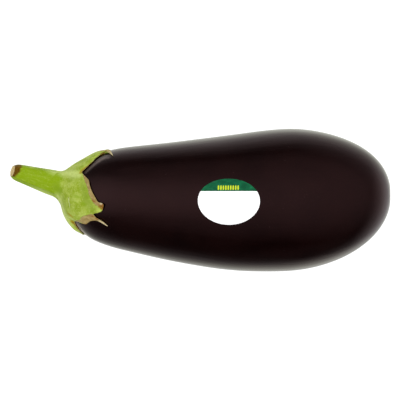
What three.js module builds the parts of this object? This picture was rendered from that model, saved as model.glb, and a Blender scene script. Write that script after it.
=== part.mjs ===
// An aubergine lying on its side, as picked: a pear-shaped dark fruit, the green calyx that
// grips its neck with pointed lobes, the cut stem, and an oval paper sticker on the upper side.
//
// Frame, in millimetres: +Z is up, z = 0 is the surface that the fruit rests on, the stem points
// to -X and the blossom end to +X. The origin is below the middle of the whole thing.

import * as THREE from 'three';

// ---- Driving dimensions -------------------------------------------------------------------

// The fruit's outline seen from above: radius against length, in three smooth stretches.
const NECK_END_X = -74.8;
const NECK_BULGE = 10.2;
const NECK_SHOULDER = [-67, 23.85];
const NECK_JOIN = [-42.4, 28.15];
const BODY_RISE = [-21.6, 31.8];
const BODY_LEAD = 28;
const WIDEST_X = 48;
const WIDEST_RADIUS = 39.13;
const BLOSSOM_LEAD = 18;
const BLOSSOM_BULGE = 29.3;
const BLOSSOM_END_X = 104.4;

// The fruit is a little lower than it is wide.
const HEIGHT_RATIO = 0.97;

// The gentle bow of the fruit's centre line: sideways offset y at each x.
const BOW_X = [-74.8, -71, -66, -49, -14, 14, 48, 80, 104];
const BOW_Y = [5.5, 2.7, 1.3, 1.0, -1.0, -1.5, 0.1, 1.3, 2.9];

// How it lies: the skin is level at REST_X, under its weight, and flattened there.
const REST_X = 21;
const FLAT_DEPTH = 0.9;

// The small round scar that the flower leaves at the blossom end.
const SCAR_RADIUS = 3.5;
const SCAR_DEPTH = 0.6;

// The collar, where the calyx closes round the stem.
const COLLAR_OFFSET = [-2.2, 2.5, 0.8];
const COLLAR_RADIUS = 7.2;
const TOUCH_GAP = 0.3;

// The stem's centre line from the collar to the cut, as steps from the collar's centre, and its
// radius at shares of its length. Five soft ridges run along it.
const STEM_STEPS = [[0, 0, 0], [-5.5, 1.7, 1.5], [-14.3, 4.2, 4.5], [-25.5, 7.5, 9]];
const STEM_SHARES = [0, 0.2, 0.55, 1];
const STEM_RADII = [COLLAR_RADIUS, 6.5, 5.35, 4.05];
const STEM_RIDGES = 5;
const STEM_RIDGE_HEIGHT = 0.035;

// The calyx lies on the skin: thick at the shoulder, thin and a little lifted at its edge.
const CALYX_GAP = 0.45;
const CALYX_EDGE = 1.1;
const CALYX_SHOULDER = 2.0;
const SHOULDER_REACH = 10;
const FILLET_REACH = 12;
const FILLET_SHIFT = 3.5;
const FILLET_ROUNDNESS = 0.38;
const EDGE_LIFT = 0.15;

// The calyx's edge, station by station round the neck: the turn from +Y over the top (degrees),
// the reach from the neck's end along the skin (mm), the lean of the tip sideways (degrees)
// and the length of the part that leans (mm). Lobes reach far, notches little.
const CALYX_EDGE_STATIONS = [
  [3, 39.4, 0, 2], [8.5, 39.4, 0.5, 2], [13, 40.3, 5.2, 2], [15.5, 40.9, 10.3, 2.3],
  [17, 41.6, 15.6, 2.6], [18.3, 40.1, 11, 2.2], [19.6, 38.8, 3.5, 2], [21, 37.7, -2.6, 2],
  [22.3, 36.9, -3.2, 2], [24, 35.6, -2.2, 2.5], [27, 34, -0.8, 3], [31, 31.6, 0, 3],
  [36, 29.2, 0, 3], [41, 25.8, 0, 3], [45.5, 22.9, 0, 2], [50, 23.6, 0, 2],
  [57, 25, 0, 2], [64, 26.4, 0, 2], [74, 27.9, 0, 2], [82, 29.5, 0, 2],
  [90, 31.4, 0, 2], [94.5, 33, 0, 2], [96.2, 34.7, -0.5, 2], [98.3, 35.9, -0.5, 2],
  [102, 35.9, -0.5, 2], [106, 34.7, 0, 2], [108.7, 31.8, 0, 2], [111, 30, 0.2, 2],
  [113.2, 32.2, 1.9, 4], [114.6, 34.5, 2.5, 6], [115.9, 36.8, 4.6, 7.5],
  [117.2, 38.5, 7.8, 8.5], [118.4, 35.6, 4.6, 6], [119.6, 33, 1.3, 4], [121, 30.6, -0.4, 2],
  [123.5, 27.9, 0, 2], [128.5, 26.4, 0, 2], [132.5, 24.8, 0, 2], [135.5, 22, 0, 2],
  [139.5, 18.8, 0, 2], [147, 17.1, 0, 2], [155, 18.8, 0, 2], [162, 20.8, 0, 2],
  [169, 22.8, 0, 2], [177, 24.4, 0, 2], [186, 24.8, 0, 2], [194, 26, 0, 2],
  [202, 30.2, 0, 2], [208, 33.8, 0, 2], [214, 31, 0, 2], [221, 26, 0, 2],
  [230, 21.5, 0, 2], [239, 26, 0, 2], [247, 32, 0, 2], [254, 36.6, 0, 2],
  [261, 32.5, 0, 2], [269, 26.5, 0, 2], [278, 21.5, 0, 2], [287, 26, 0, 2],
  [295.5, 32, 0, 2], [302, 36.4, 0, 2], [309.5, 32.5, 0, 2], [318, 26.5, 0, 2],
  [328, 21.7, 0, 2], [337, 26, 0, 2], [346, 32.5, 0, 2], [355, 37.6, 0, 2],
];

// The oval paper sticker on the upper side.
const STICKER_X = 15.9;
const STICKER_TURN = 89.1;
const STICKER_HALF_LENGTH = 17.4;
const STICKER_HALF_WIDTH = 13.2;
const STICKER_THICKNESS = 0.4;

// How finely the curved surfaces are divided.
const FRUIT_SPOKES = 60;
const FRUIT_RINGS = 36;
const END_CROWDING = 0.6;
const SCAR_RINGS = [6, 4, 2.5, 1.2];
const STEM_SPOKES = 40;
const STEM_RINGS = 12;
const CALYX_STEPS_PER_STATION = 2;
const STICKER_SPOKES = 36;

// ---- Shared geometry ----------------------------------------------------------------------

// A value that glides through evenly spaced stations, which follow each other in a circle.
function glide(stations, place) {
  const count = stations.length;
  const station = Math.floor(place);
  const [before, here, next, after] = [-1, 0, 1, 2].map((step) => (
    stations[(station + step + count) % count]));
  const t = place - station;
  return 0.5 * (2 * here + (next - before) * t
    + (2 * before - 5 * here + 4 * next - after) * t * t
    + (3 * here - before - 3 * next + after) * t * t * t);
}

// A closed body from a pole, a stack of rings that all turn the same way, and a second pole.
function bodyFromRings(firstPole, rings, lastPole) {
  const spokes = rings[0].length;
  const points = [firstPole, ...rings.flat(), lastPole];
  const last = points.length - 1;
  const at = (ring, spoke) => 1 + ring * spokes + (spoke % spokes);
  const faces = [];
  for (let spoke = 0; spoke < spokes; spoke += 1) {
    faces.push(0, at(0, spoke + 1), at(0, spoke));
    for (let ring = 0; ring + 1 < rings.length; ring += 1) {
      faces.push(at(ring, spoke), at(ring, spoke + 1), at(ring + 1, spoke));
      faces.push(at(ring, spoke + 1), at(ring + 1, spoke + 1), at(ring + 1, spoke));
    }
    faces.push(last, at(rings.length - 1, spoke), at(rings.length - 1, spoke + 1));
  }
  const geometry = new THREE.BufferGeometry().setFromPoints(points);
  geometry.setIndex(faces);
  geometry.computeVertexNormals();
  return geometry;
}

// One ring of points: makePoint is called with each spoke's angle, in degrees.
function ringOf(spokes, makePoint) {
  return Array.from({ length: spokes }, (_, spoke) => makePoint((360 * spoke) / spokes));
}

// ---- The fruit's surface ------------------------------------------------------------------

// The outline as one path of (length, radius), which is walked by its own length in mm.
const outline = new THREE.CurvePath();
outline.add(new THREE.CubicBezierCurve(
  new THREE.Vector2(NECK_END_X, 0),
  new THREE.Vector2(NECK_END_X, NECK_BULGE),
  new THREE.Vector2(...NECK_SHOULDER),
  new THREE.Vector2(...NECK_JOIN),
));
outline.add(new THREE.CubicBezierCurve(
  new THREE.Vector2(...NECK_JOIN),
  new THREE.Vector2(...BODY_RISE),
  new THREE.Vector2(WIDEST_X - BODY_LEAD, WIDEST_RADIUS),
  new THREE.Vector2(WIDEST_X, WIDEST_RADIUS),
));
outline.add(new THREE.CubicBezierCurve(
  new THREE.Vector2(WIDEST_X, WIDEST_RADIUS),
  new THREE.Vector2(WIDEST_X + BLOSSOM_LEAD, WIDEST_RADIUS),
  new THREE.Vector2(BLOSSOM_END_X, BLOSSOM_BULGE),
  new THREE.Vector2(BLOSSOM_END_X, 0),
));
const outlineLength = outline.getLength();

// The point of the outline at a reach in mm from the neck's end.
function outlineAt(reach) {
  return outline.getPoint(THREE.MathUtils.clamp(reach / outlineLength, 0, 1));
}

// The reach at which the outline has a given x, found by halving.
function reachAt(x) {
  let low = 0;
  let high = outlineLength;
  while (high - low > 0.001) {
    const middle = (low + high) / 2;
    if (outlineAt(middle).x < x) low = middle;
    else high = middle;
  }
  return (low + high) / 2;
}

const bow = new THREE.CubicInterpolant(BOW_X, BOW_Y, 1);

// The centre line leans so that the underside is level at REST_X.
const restReach = reachAt(REST_X);
const restPoint = outlineAt(restReach);
const restAhead = outlineAt(restReach + 1);
const axisRise = (HEIGHT_RATIO * (restAhead.y - restPoint.y)) / (restAhead.x - restPoint.x);
const restHeight = HEIGHT_RATIO * restPoint.y - FLAT_DEPTH;

function centreAt(x) {
  return new THREE.Vector3(x, bow.evaluate(x)[0], restHeight + axisRise * (x - REST_X));
}

// A point of the skin, before it is flattened where it rests.
function skinPoint(reach, turn) {
  const { x, y: radius } = outlineAt(reach);
  const angle = THREE.MathUtils.degToRad(turn);
  const point = centreAt(x);
  point.y += radius * Math.cos(angle);
  point.z += HEIGHT_RATIO * radius * Math.sin(angle);
  return point;
}

// A point above the skin by a height in mm, measured square to it.
function aboveSkin(reach, turn, height) {
  const step = 0.2;
  const along = skinPoint(reach + step, turn).sub(skinPoint(reach - step, turn));
  const across = skinPoint(reach, turn + step).sub(skinPoint(reach, turn - step));
  const outward = across.cross(along).normalize();
  return skinPoint(reach, turn).addScaledVector(outward, height);
}

// ---- The pieces ---------------------------------------------------------------------------

// The fruit: rings crowd towards both ends, the blossom end has its scar, and the underside is
// flat at z = 0 where the fruit rests.
function makeFruit() {
  const reaches = [];
  for (let ring = 1; ring < FRUIT_RINGS; ring += 1) {
    const even = ring / FRUIT_RINGS;
    const crowded = even - (END_CROWDING * Math.sin(2 * Math.PI * even)) / (2 * Math.PI);
    reaches.push(crowded * outlineLength);
  }
  const ordinary = reaches.filter((reach) => reach < outlineLength - SCAR_RINGS[0] - 1);
  const all = [...ordinary, ...SCAR_RINGS.map((distance) => outlineLength - distance)];
  const finished = (reach, turn) => {
    const point = skinPoint(reach, turn);
    const fromScar = (outlineLength - reach) / SCAR_RADIUS;
    point.x -= SCAR_DEPTH * Math.exp(-fromScar * fromScar);
    point.z = Math.max(point.z, 0);
    return point;
  };
  const rings = all.map((reach) => ringOf(FRUIT_SPOKES, (turn) => finished(reach, turn)));
  return bodyFromRings(finished(0, 0), rings, finished(outlineLength, 0));
}

// The stem's centre line, its radius and its ridged section.
const collarCentre = centreAt(NECK_END_X).add(new THREE.Vector3(...COLLAR_OFFSET));
const stemLine = new THREE.CatmullRomCurve3(
  STEM_STEPS.map((step) => new THREE.Vector3(...step).add(collarCentre)));
const stemTaper = new THREE.CubicInterpolant(STEM_SHARES, STEM_RADII, 1);
const stemAxis = stemLine.getTangentAt(0);
const stemSide = new THREE.Vector3(0, 1, 0).addScaledVector(stemAxis, -stemAxis.y).normalize();

// A point of the stem's surface: how far along it (0 at the collar, 1 at the cut), and the turn.
function stemPoint(along, turn) {
  const angle = THREE.MathUtils.degToRad(turn);
  const axis = stemLine.getTangentAt(along);
  const side = stemSide.clone().addScaledVector(axis, -stemSide.dot(axis)).normalize();
  const up = side.clone().cross(axis);
  const ridged = 1 + STEM_RIDGE_HEIGHT * Math.cos(STEM_RIDGES * angle);
  const radius = stemTaper.evaluate(along)[0] * ridged;
  return stemLine.getPointAt(along)
    .addScaledVector(side, radius * Math.cos(angle))
    .addScaledVector(up, radius * Math.sin(angle));
}

// The stem, from its cut face to just short of the collar.
function makeStem() {
  const start = TOUCH_GAP / stemLine.getLength();
  const rings = [];
  for (let ring = 0; ring <= STEM_RINGS; ring += 1) {
    const along = THREE.MathUtils.lerp(1, start, ring / STEM_RINGS);
    rings.push(ringOf(STEM_SPOKES, (turn) => stemPoint(along, turn)));
  }
  return bodyFromRings(stemLine.getPointAt(1), rings, stemLine.getPointAt(start));
}

// The calyx's thickness above the skin at a reach from the neck's end.
function calyxHeight(reach) {
  const past = (reach - SHOULDER_REACH) / SHOULDER_REACH;
  return CALYX_EDGE + CALYX_SHOULDER * Math.exp(-past * past);
}

// The calyx: from the flat collar face over the fillet and out along each lobe to the edge,
// then back underneath, close above the skin, to the neck's end.
function makeCalyx() {
  const count = CALYX_EDGE_STATIONS.length;
  const columns = [0, 1, 2, 3].map((column) => CALYX_EDGE_STATIONS.map((row) => row[column]));
  const bend = columns[0].map((turn, index) => turn - (360 * index) / count);
  const spokes = Array.from({ length: count * CALYX_STEPS_PER_STATION }, (_, index) => {
    const place = index / CALYX_STEPS_PER_STATION;
    return {
      turn: glide(bend, place) + (360 * place) / count,
      reach: glide(columns[1], place),
      lean: glide(columns[2], place),
      tail: glide(columns[3], place),
    };
  });

  const collarPoint = (spoke) => stemPoint(0, spoke.turn);
  const filletReach = (turn) => (
    FILLET_REACH + FILLET_SHIFT * Math.cos(THREE.MathUtils.degToRad(turn)));
  const filletPoint = (spoke, t) => {
    const landing = filletReach(spoke.turn);
    const start = collarPoint(spoke);
    const end = aboveSkin(landing, spoke.turn, calyxHeight(landing));
    const ahead = aboveSkin(landing + 1, spoke.turn, calyxHeight(landing + 1));
    const arrive = ahead.sub(end).normalize();
    const leave = start.clone().sub(collarCentre).normalize().sub(stemAxis).normalize();
    const handle = FILLET_ROUNDNESS * start.distanceTo(end);
    return new THREE.CubicBezierCurve3(
      start,
      start.clone().addScaledVector(leave, handle),
      end.clone().addScaledVector(arrive, -handle),
      end,
    ).getPoint(t);
  };
  const lobePoint = (spoke, share, lean, height) => {
    const root = spoke.reach - spoke.tail;
    const reach = THREE.MathUtils.lerp(filletReach(spoke.turn), root, share) + spoke.tail * lean;
    const lift = lean === 0 ? 0 : EDGE_LIFT * lean;
    return aboveSkin(reach, spoke.turn + spoke.lean * lean, height(reach) + lift);
  };

  const overSkin = () => CALYX_GAP;
  const neckPoint = (spoke, share) => (
    aboveSkin(share * filletReach(spoke.turn), spoke.turn, CALYX_GAP));
  const shares = [1 / 3, 2 / 3, 1];
  const leans = [0.5, 1];
  const outside = [
    collarPoint,
    ...[0.25, 0.5, 0.75, 1].map((t) => (spoke) => filletPoint(spoke, t)),
    ...shares.map((share) => (spoke) => lobePoint(spoke, share, 0, calyxHeight)),
    ...leans.map((lean) => (spoke) => lobePoint(spoke, 1, lean, calyxHeight)),
  ];
  const inside = [
    ...leans.toReversed().map((lean) => (spoke) => lobePoint(spoke, 1, lean, overSkin)),
    ...shares.toReversed().map((share) => (spoke) => lobePoint(spoke, share, 0, overSkin)),
    ...[1, 0.7, 0.35].map((share) => (spoke) => neckPoint(spoke, share)),
  ];
  const rings = [...outside, ...inside].map((makePoint) => spokes.map(makePoint));
  const innerPole = centreAt(NECK_END_X).add(new THREE.Vector3(-CALYX_GAP, 0, 0));
  return bodyFromRings(collarCentre.clone(), rings, innerPole);
}

// The sticker: a thin oval patch that follows the skin.
function makeSticker() {
  const middle = reachAt(STICKER_X);
  const patchPoint = (share, height) => (angleDegrees) => {
    const angle = THREE.MathUtils.degToRad(angleDegrees);
    const reach = middle + share * STICKER_HALF_LENGTH * Math.cos(angle);
    const across = share * STICKER_HALF_WIDTH * Math.sin(angle);
    const turn = THREE.MathUtils.radToDeg(across / outlineAt(reach).y);
    return aboveSkin(reach, STICKER_TURN + turn, height);
  };
  const shares = [1 / 3, 2 / 3, 1];
  const top = TOUCH_GAP + STICKER_THICKNESS;
  const rings = [
    ...shares.map((share) => ringOf(STICKER_SPOKES, patchPoint(share, top))),
    ...shares.toReversed().map((share) => ringOf(STICKER_SPOKES, patchPoint(share, TOUCH_GAP))),
  ];
  return bodyFromRings(patchPoint(0, top)(0), rings, patchPoint(0, TOUCH_GAP)(0));
}

// ---- Assembly -----------------------------------------------------------------------------

const pieces = [
  ['fruit', makeFruit(), { color: 0x251517, roughness: 0.22 }],
  ['calyx', makeCalyx(), { color: 0x97ad45, roughness: 0.6 }],
  ['stem', makeStem(), { color: 0x8eab24, roughness: 0.55 }],
  ['sticker', makeSticker(), { color: 0xf6f6f4, roughness: 0.5 }],
];

const aubergine = new THREE.Group();
for (const [name, geometry, look] of pieces) {
  const mesh = new THREE.Mesh(geometry, new THREE.MeshStandardMaterial({ ...look, metalness: 0 }));
  mesh.name = name;
  aubergine.add(mesh);
}

export default aubergine;
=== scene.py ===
# %% [markdown]
# # An aubergine lying on its side
# This lesson dresses a finished solid model of an aubergine for the studio: a glossy, almost
# black fruit, a fleshy green calyx that grips its neck, the cut stalk, and a small oval paper
# label. The solid model is the frame. Every piece below is built where the frame says, in
# metres, with +Z up and the table at z = 0.

# %% Load the frame
import math

import bmesh
import bpy
import numpy as np
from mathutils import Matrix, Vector, noise
from mathutils.bvhtree import BVHTree


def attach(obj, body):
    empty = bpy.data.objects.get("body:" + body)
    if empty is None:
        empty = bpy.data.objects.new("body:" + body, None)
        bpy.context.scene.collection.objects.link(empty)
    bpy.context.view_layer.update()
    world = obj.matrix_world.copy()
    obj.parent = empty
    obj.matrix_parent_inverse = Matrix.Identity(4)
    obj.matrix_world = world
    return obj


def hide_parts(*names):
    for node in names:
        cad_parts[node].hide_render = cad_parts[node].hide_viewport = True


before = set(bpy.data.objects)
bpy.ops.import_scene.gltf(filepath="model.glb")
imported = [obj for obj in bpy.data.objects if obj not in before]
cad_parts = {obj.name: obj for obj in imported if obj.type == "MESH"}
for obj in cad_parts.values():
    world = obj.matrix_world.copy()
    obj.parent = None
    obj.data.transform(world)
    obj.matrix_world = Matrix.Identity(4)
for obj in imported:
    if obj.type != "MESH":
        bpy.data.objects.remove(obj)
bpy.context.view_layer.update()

# %% [markdown]
# ## The fruit's outline
# Seen from above, the fruit is a long pear: a round neck, a slow swelling and a full blossom
# end. It could be drawn freehand, but the solid model already has it as three smooth curves of
# length against radius. The same numbers, in millimetres, keep skin, calyx and label together.

# %% Outline: radius against length
MM = 0.001
CURVE_STEPS = 3000
OUTLINE_CURVES = [
    [(-74.8, 0.0), (-74.8, 10.2), (-67.0, 23.85), (-42.4, 28.15)],
    [(-42.4, 28.15), (-21.6, 31.8), (20.0, 39.13), (48.0, 39.13)],
    [(48.0, 39.13), (66.0, 39.13), (104.4, 29.3), (104.4, 0.0)],
]


def bezier(handles, share):
    """Points of a cubic curve between its first and last handle, at shares from 0 to 1."""
    first, second, third, last = (np.asarray(handle, float) for handle in handles)
    share = np.asarray(share, float)[..., None]
    left = 1 - share
    return (left**3 * first + 3 * left**2 * share * second
            + 3 * left * share**2 * third + share**3 * last)


share = np.linspace(0, 1, CURVE_STEPS)
outline = np.vstack([bezier(curve, share)[:-1] for curve in OUTLINE_CURVES]
                    + [[OUTLINE_CURVES[-1][-1]]])
outline_reach = np.concatenate([[0], np.cumsum(np.hypot(*np.diff(outline, axis=0).T))])
OUTLINE_LENGTH = outline_reach[-1]


def outline_at(reach):
    """Length and radius of the outline at a reach, in mm walked from the neck's end."""
    return (np.interp(reach, outline_reach, outline[:, 0]),
            np.interp(reach, outline_reach, outline[:, 1]))


def reach_at(x):
    """The reach at which the outline has this x."""
    return np.interp(x, outline[:, 0], outline_reach)


print("outline length in mm:", round(OUTLINE_LENGTH, 1))

# %% [markdown]
# ## The skin as a surface
# A fruit is never quite straight: its middle bows a little to the side, and it leans so that
# the heavy end lies level. A point of the skin is given by its reach along the fruit and its
# turn round it: 0 degrees is +Y, 90 is the top, 180 is -Y, 270 is the underside.

# %% Skin surface
# The fruit is a little lower than it is wide. BOW_Y is how far aside its middle lies at BOW_X, in
# mm. It rests on a spot round REST_X, which is pressed in by FLAT_DEPTH.
HEIGHT_RATIO = 0.97
BOW_X = [-74.8, -71, -66, -49, -14, 14, 48, 80, 104]
BOW_Y = [5.5, 2.7, 1.3, 1.0, -1.0, -1.5, 0.1, 1.3, 2.9]
REST_X = 21.0
FLAT_DEPTH = 0.9
NECK_END_X = -74.8
NORMAL_STEP = 0.2


def glide_through(places, values, where):
    """A smooth line through points; its slope at each is the mean of its neighbours'."""
    places, values = np.asarray(places, float), np.asarray(values, float)
    secants = np.diff(values) / np.diff(places)
    slopes = np.concatenate([secants[:1], (secants[:-1] + secants[1:]) / 2, secants[-1:]])
    where = np.clip(where, places[0], places[-1])
    left = np.clip(np.searchsorted(places, where, side="right") - 1, 0, len(places) - 2)
    span = places[left + 1] - places[left]
    part = (where - places[left]) / span
    return ((2 * part**3 - 3 * part**2 + 1) * values[left]
            + (part**3 - 2 * part**2 + part) * span * slopes[left]
            + (3 * part**2 - 2 * part**3) * values[left + 1]
            + (part**3 - part**2) * span * slopes[left + 1])


rest_reach = reach_at(REST_X)
ahead_x, ahead_radius = outline_at(rest_reach + 1)
rest_x, rest_radius = outline_at(rest_reach)
AXIS_RISE = HEIGHT_RATIO * (ahead_radius - rest_radius) / (ahead_x - rest_x)
REST_HEIGHT = HEIGHT_RATIO * rest_radius - FLAT_DEPTH


def centre_at(x):
    """The middle of the fruit at this x."""
    x = np.asarray(x, float)
    return np.stack([x, glide_through(BOW_X, BOW_Y, x),
                     REST_HEIGHT + AXIS_RISE * (x - REST_X)], axis=-1)


def skin_point(reach, turn):
    """A point of the skin, before the underside is pressed flat."""
    reach, angle = np.broadcast_arrays(np.asarray(reach, float), np.radians(turn))
    x, radius = outline_at(reach)
    point = centre_at(x)
    point[..., 1] += radius * np.cos(angle)
    point[..., 2] += HEIGHT_RATIO * radius * np.sin(angle)
    return point


def unit(vector):
    """The same direction with length 1."""
    return vector / np.linalg.norm(vector, axis=-1, keepdims=True)


def above_skin(reach, turn, height):
    """A point above the skin by a height in mm, measured square to it."""
    along = skin_point(reach + NORMAL_STEP, turn) - skin_point(reach - NORMAL_STEP, turn)
    across = skin_point(reach, turn + NORMAL_STEP) - skin_point(reach, turn - NORMAL_STEP)
    outward = unit(np.cross(across, along))
    return skin_point(reach, turn) + outward * np.asarray(height)[..., None]


def reach_and_turn(places):
    """The reach and turn of places on or near the skin."""
    offset = places - centre_at(places[..., 0])
    turn = np.degrees(np.arctan2(offset[..., 2] / HEIGHT_RATIO, offset[..., 1])) % 360
    return reach_at(places[..., 0]), turn


print("lean of the axis:", round(float(AXIS_RISE), 4), "middle height:", round(float(REST_HEIGHT), 2))

# %% [markdown]
# ## The modelling bench
# Every grown piece starts as a circle of edges. The circle is extruded ring after ring, as by
# hand, and each new ring is moved to its place. Ends are closed by merging one last ring into a
# point. These helpers are the steps that come back for each piece.

# %% Modelling helpers
def clear_selection():
    """Back to object mode with nothing selected."""
    if bpy.context.mode != "OBJECT":
        bpy.ops.object.mode_set(mode="OBJECT")
    bpy.ops.object.select_all(action="DESELECT")


def make_active(piece):
    """Selects this piece alone, for the tools that work on the active one."""
    clear_selection()
    bpy.context.view_layer.objects.active = piece
    piece.select_set(True)


def start_editing(action):
    """Into edit mode on vertices, with all of them selected or none."""
    bpy.ops.object.mode_set(mode="EDIT")
    bpy.ops.mesh.select_mode(type="VERT")
    bpy.ops.mesh.select_all(action=action)


def start_circle(name, spokes, radius=1.0, place=(0, 0, 0), rotation=(0, 0, 0)):
    """A new circle of edges, whose place and turn go into its mesh."""
    clear_selection()
    bpy.ops.mesh.primitive_circle_add(vertices=spokes, radius=radius, location=place,
                                      rotation=rotation)
    piece = bpy.context.object
    piece.name = name
    piece.data.name = name
    bpy.ops.object.transform_apply(location=True, rotation=True, scale=True)
    return piece


def close_to_point(point=None):
    """Extrudes the selected ring once more and merges it into one point."""
    bpy.ops.mesh.extrude_region_move()
    bpy.ops.mesh.merge(type="CENTER")
    if point is not None:
        mesh = bpy.context.object.data
        for vertex in bmesh.from_edit_mesh(mesh).verts:
            if vertex.select:
                vertex.co = Vector(point) * MM
        bmesh.update_edit_mesh(mesh)


def tidy_normals():
    """All faces point outwards."""
    bpy.ops.mesh.select_all(action="SELECT")
    bpy.ops.mesh.normals_make_consistent(inside=False)
    bpy.ops.object.mode_set(mode="OBJECT")


def smooth_out(piece, levels):
    """Applies a Subdivision Surface and smooth shading."""
    make_active(piece)
    if levels:
        bpy.ops.object.modifier_add(type="SUBSURF")
        piece.modifiers[-1].levels = levels
        piece.modifiers[-1].render_levels = levels
        bpy.ops.object.modifier_apply(modifier=piece.modifiers[-1].name)
    bpy.ops.object.shade_smooth()


def vertex_places(piece):
    """All vertices of a piece, in mm."""
    places = np.zeros(len(piece.data.vertices) * 3)
    piece.data.vertices.foreach_get("co", places)
    return places.reshape(-1, 3) / MM


def write_places(piece, places):
    """Moves all vertices of a piece to places in mm."""
    piece.data.vertices.foreach_set("co", (places * MM).ravel())
    piece.data.update()


print("bench helpers ready in mode:", bpy.context.mode)

# %% [markdown]
# ## The fruit
# On the real fruit a thin, taut skin covers spongy flesh, so the form is very smooth, with only
# faint dents. A sphere could be pulled long, but its poles and rings would sit in the wrong
# places. Here one circle is extruded along the outline, moved and resized ring by ring, closed
# at both ends and subdivided. Then the underside is pressed flat on the table.

# %% Grow the fruit
FRUIT_SPOKES = 64
FRUIT_RINGS = 42
END_CROWDING = 0.72
NECK_RINGS = [0.8, 2.2]
SCAR_RINGS = [6.0, 4.6, 3.4, 2.4, 1.5, 0.7]
SCAR_RADIUS = 3.5
SCAR_DEPTH = 0.6
# A subdivided circle draws in between its corners; this makes up for it.
DRAW_IN = 3 / (2 + math.cos(2 * math.pi / FRUIT_SPOKES))

even = np.arange(1, FRUIT_RINGS) / FRUIT_RINGS
crowded = (even - END_CROWDING * np.sin(2 * np.pi * even) / (2 * np.pi)) * OUTLINE_LENGTH
inner = crowded[(crowded > NECK_RINGS[-1] + 1) & (crowded < OUTLINE_LENGTH - SCAR_RINGS[0] - 1)]
fruit_reaches = np.concatenate([NECK_RINGS, inner, OUTLINE_LENGTH - np.array(SCAR_RINGS)])


def fruit_ring(reach):
    """Middle and radius of one ring of the fruit, in metres, with the scar's hollow."""
    x, radius = outline_at(reach)
    middle = centre_at(x)
    middle[0] -= SCAR_DEPTH * math.exp(-((OUTLINE_LENGTH - reach) / SCAR_RADIUS) ** 2)
    return Vector(middle * MM), float(radius * MM * DRAW_IN)


middle, radius = fruit_ring(fruit_reaches[0])
skin = start_circle("fruit_skin", FRUIT_SPOKES, radius, middle, (0, math.pi / 2, 0))
start_editing("SELECT")
bpy.ops.transform.resize(value=(1, 1, HEIGHT_RATIO), center_override=middle)
for reach in fruit_reaches[1:]:
    next_middle, next_radius = fruit_ring(reach)
    bpy.ops.mesh.extrude_region_move(TRANSFORM_OT_translate={"value": next_middle - middle})
    growth = next_radius / radius
    bpy.ops.transform.resize(value=(1, growth, growth), center_override=next_middle)
    middle, radius = next_middle, next_radius
close_to_point()
bpy.ops.mesh.select_all(action="DESELECT")
bpy.ops.mesh.select_non_manifold()
close_to_point()
tidy_normals()
smooth_out(skin, 2)
print("fruit faces:", len(skin.data.polygons))

# %% [markdown]
# ## Dents and the flat spot
# No real fruit is quite smooth, and this one rests on a small flat. The dents could be sculpted
# by hand. Soft noise that pushes the skin in and out by a fraction of a millimetre is enough
# here, and calyx and label can follow the same dents. Then all that would lie below the table is
# selected and scaled flat.

# %% Soften the form and press the underside flat
DENT_SIZE, DENT_SEED = 34.0, 3.7
DENT_DEPTH = 0.16


def ripple(places, size, seed):
    """Soft noise between about -1 and 1 for places in mm, with lumps of the given size."""
    flat = np.asarray(places, float).reshape(-1, 3) / size + seed
    values = [noise.noise(Vector(place)) for place in flat]
    return np.array(values).reshape(np.asarray(places).shape[:-1])


def with_dents(places):
    """The same places, pushed in or out a little, square to the fruit's long axis."""
    outward = places - centre_at(places[..., 0])
    outward[..., 0] = 0
    length = np.linalg.norm(outward, axis=-1, keepdims=True)
    outward = outward / np.maximum(length, 1.0)
    depth = DENT_DEPTH * ripple(places, DENT_SIZE, DENT_SEED)
    return places + outward * depth[..., None]


places = with_dents(vertex_places(skin))
write_places(skin, places)
make_active(skin)
start_editing("DESELECT")
bpy.ops.object.mode_set(mode="OBJECT")
for vertex, place in zip(skin.data.vertices, places):
    vertex.select = bool(place[2] < 0)
bpy.ops.object.mode_set(mode="EDIT")
bpy.ops.transform.resize(value=(1, 1, 0), center_override=(0, 0, 0))
bpy.ops.object.mode_set(mode="OBJECT")
places = vertex_places(skin)
print("fruit from", places.min(axis=0).round(2), "to", places.max(axis=0).round(2))

# %% [markdown]
# ## The stalk
# The stalk is living green tissue: it grows out of the calyx, thins towards the cut and has a
# few lengthwise ridges. Its end was clipped, so it has a dry tan face inside a dark, shrivelled
# rim. It could be a bevelled curve, but ridges and the rim need rings with their own shape.

# %% The stalk's middle line and section
COLLAR_OFFSET = np.array([-2.2, 2.5, 0.8])
STALK_STEPS = np.array([[0, 0.5, 0], [-5.5, 2.0, 1.5], [-14.3, 4.55, 4.5], [-26.0, 7.95, 9.1]])
STALK_SHARES = [0, 0.2, 0.55, 1]
STALK_RADII = [7.3, 6.95, 5.75, 4.25]
# Ridges and grooves: the turn round the stalk, the height in mm, the half width in degrees.
STALK_RIDGES = [(48, 0.22, 13), (72, -0.12, 10), (98, 0.12, 15), (143, 0.26, 11), (157, -0.3, 8),
                (176, 0.1, 12), (205, 0.2, 16), (238, -0.12, 14), (262, 0.22, 15),
                (293, -0.15, 12), (322, 0.22, 16), (352, -0.1, 13)]

collar = centre_at(NECK_END_X) + COLLAR_OFFSET
chord = np.concatenate([[0], np.cumsum(np.linalg.norm(np.diff(STALK_STEPS, axis=0), axis=1))])
stalk_fit = [np.polyfit(chord, STALK_STEPS[:, axis], 3) for axis in range(3)]
STALK_LENGTH = chord[-1]


def stalk_line(along):
    """A point of the stalk's middle line, at mm from the collar."""
    return collar + np.stack([np.polyval(fit, along) for fit in stalk_fit], axis=-1)


def stalk_axis(along):
    """The direction of the stalk at mm from the collar, away from the fruit."""
    return unit(np.stack([np.polyval(np.polyder(fit), along) for fit in stalk_fit], axis=-1))


def turn_apart(turn, middle):
    """The smallest difference between two turns in degrees."""
    return (turn - middle + 180) % 360 - 180


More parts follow.
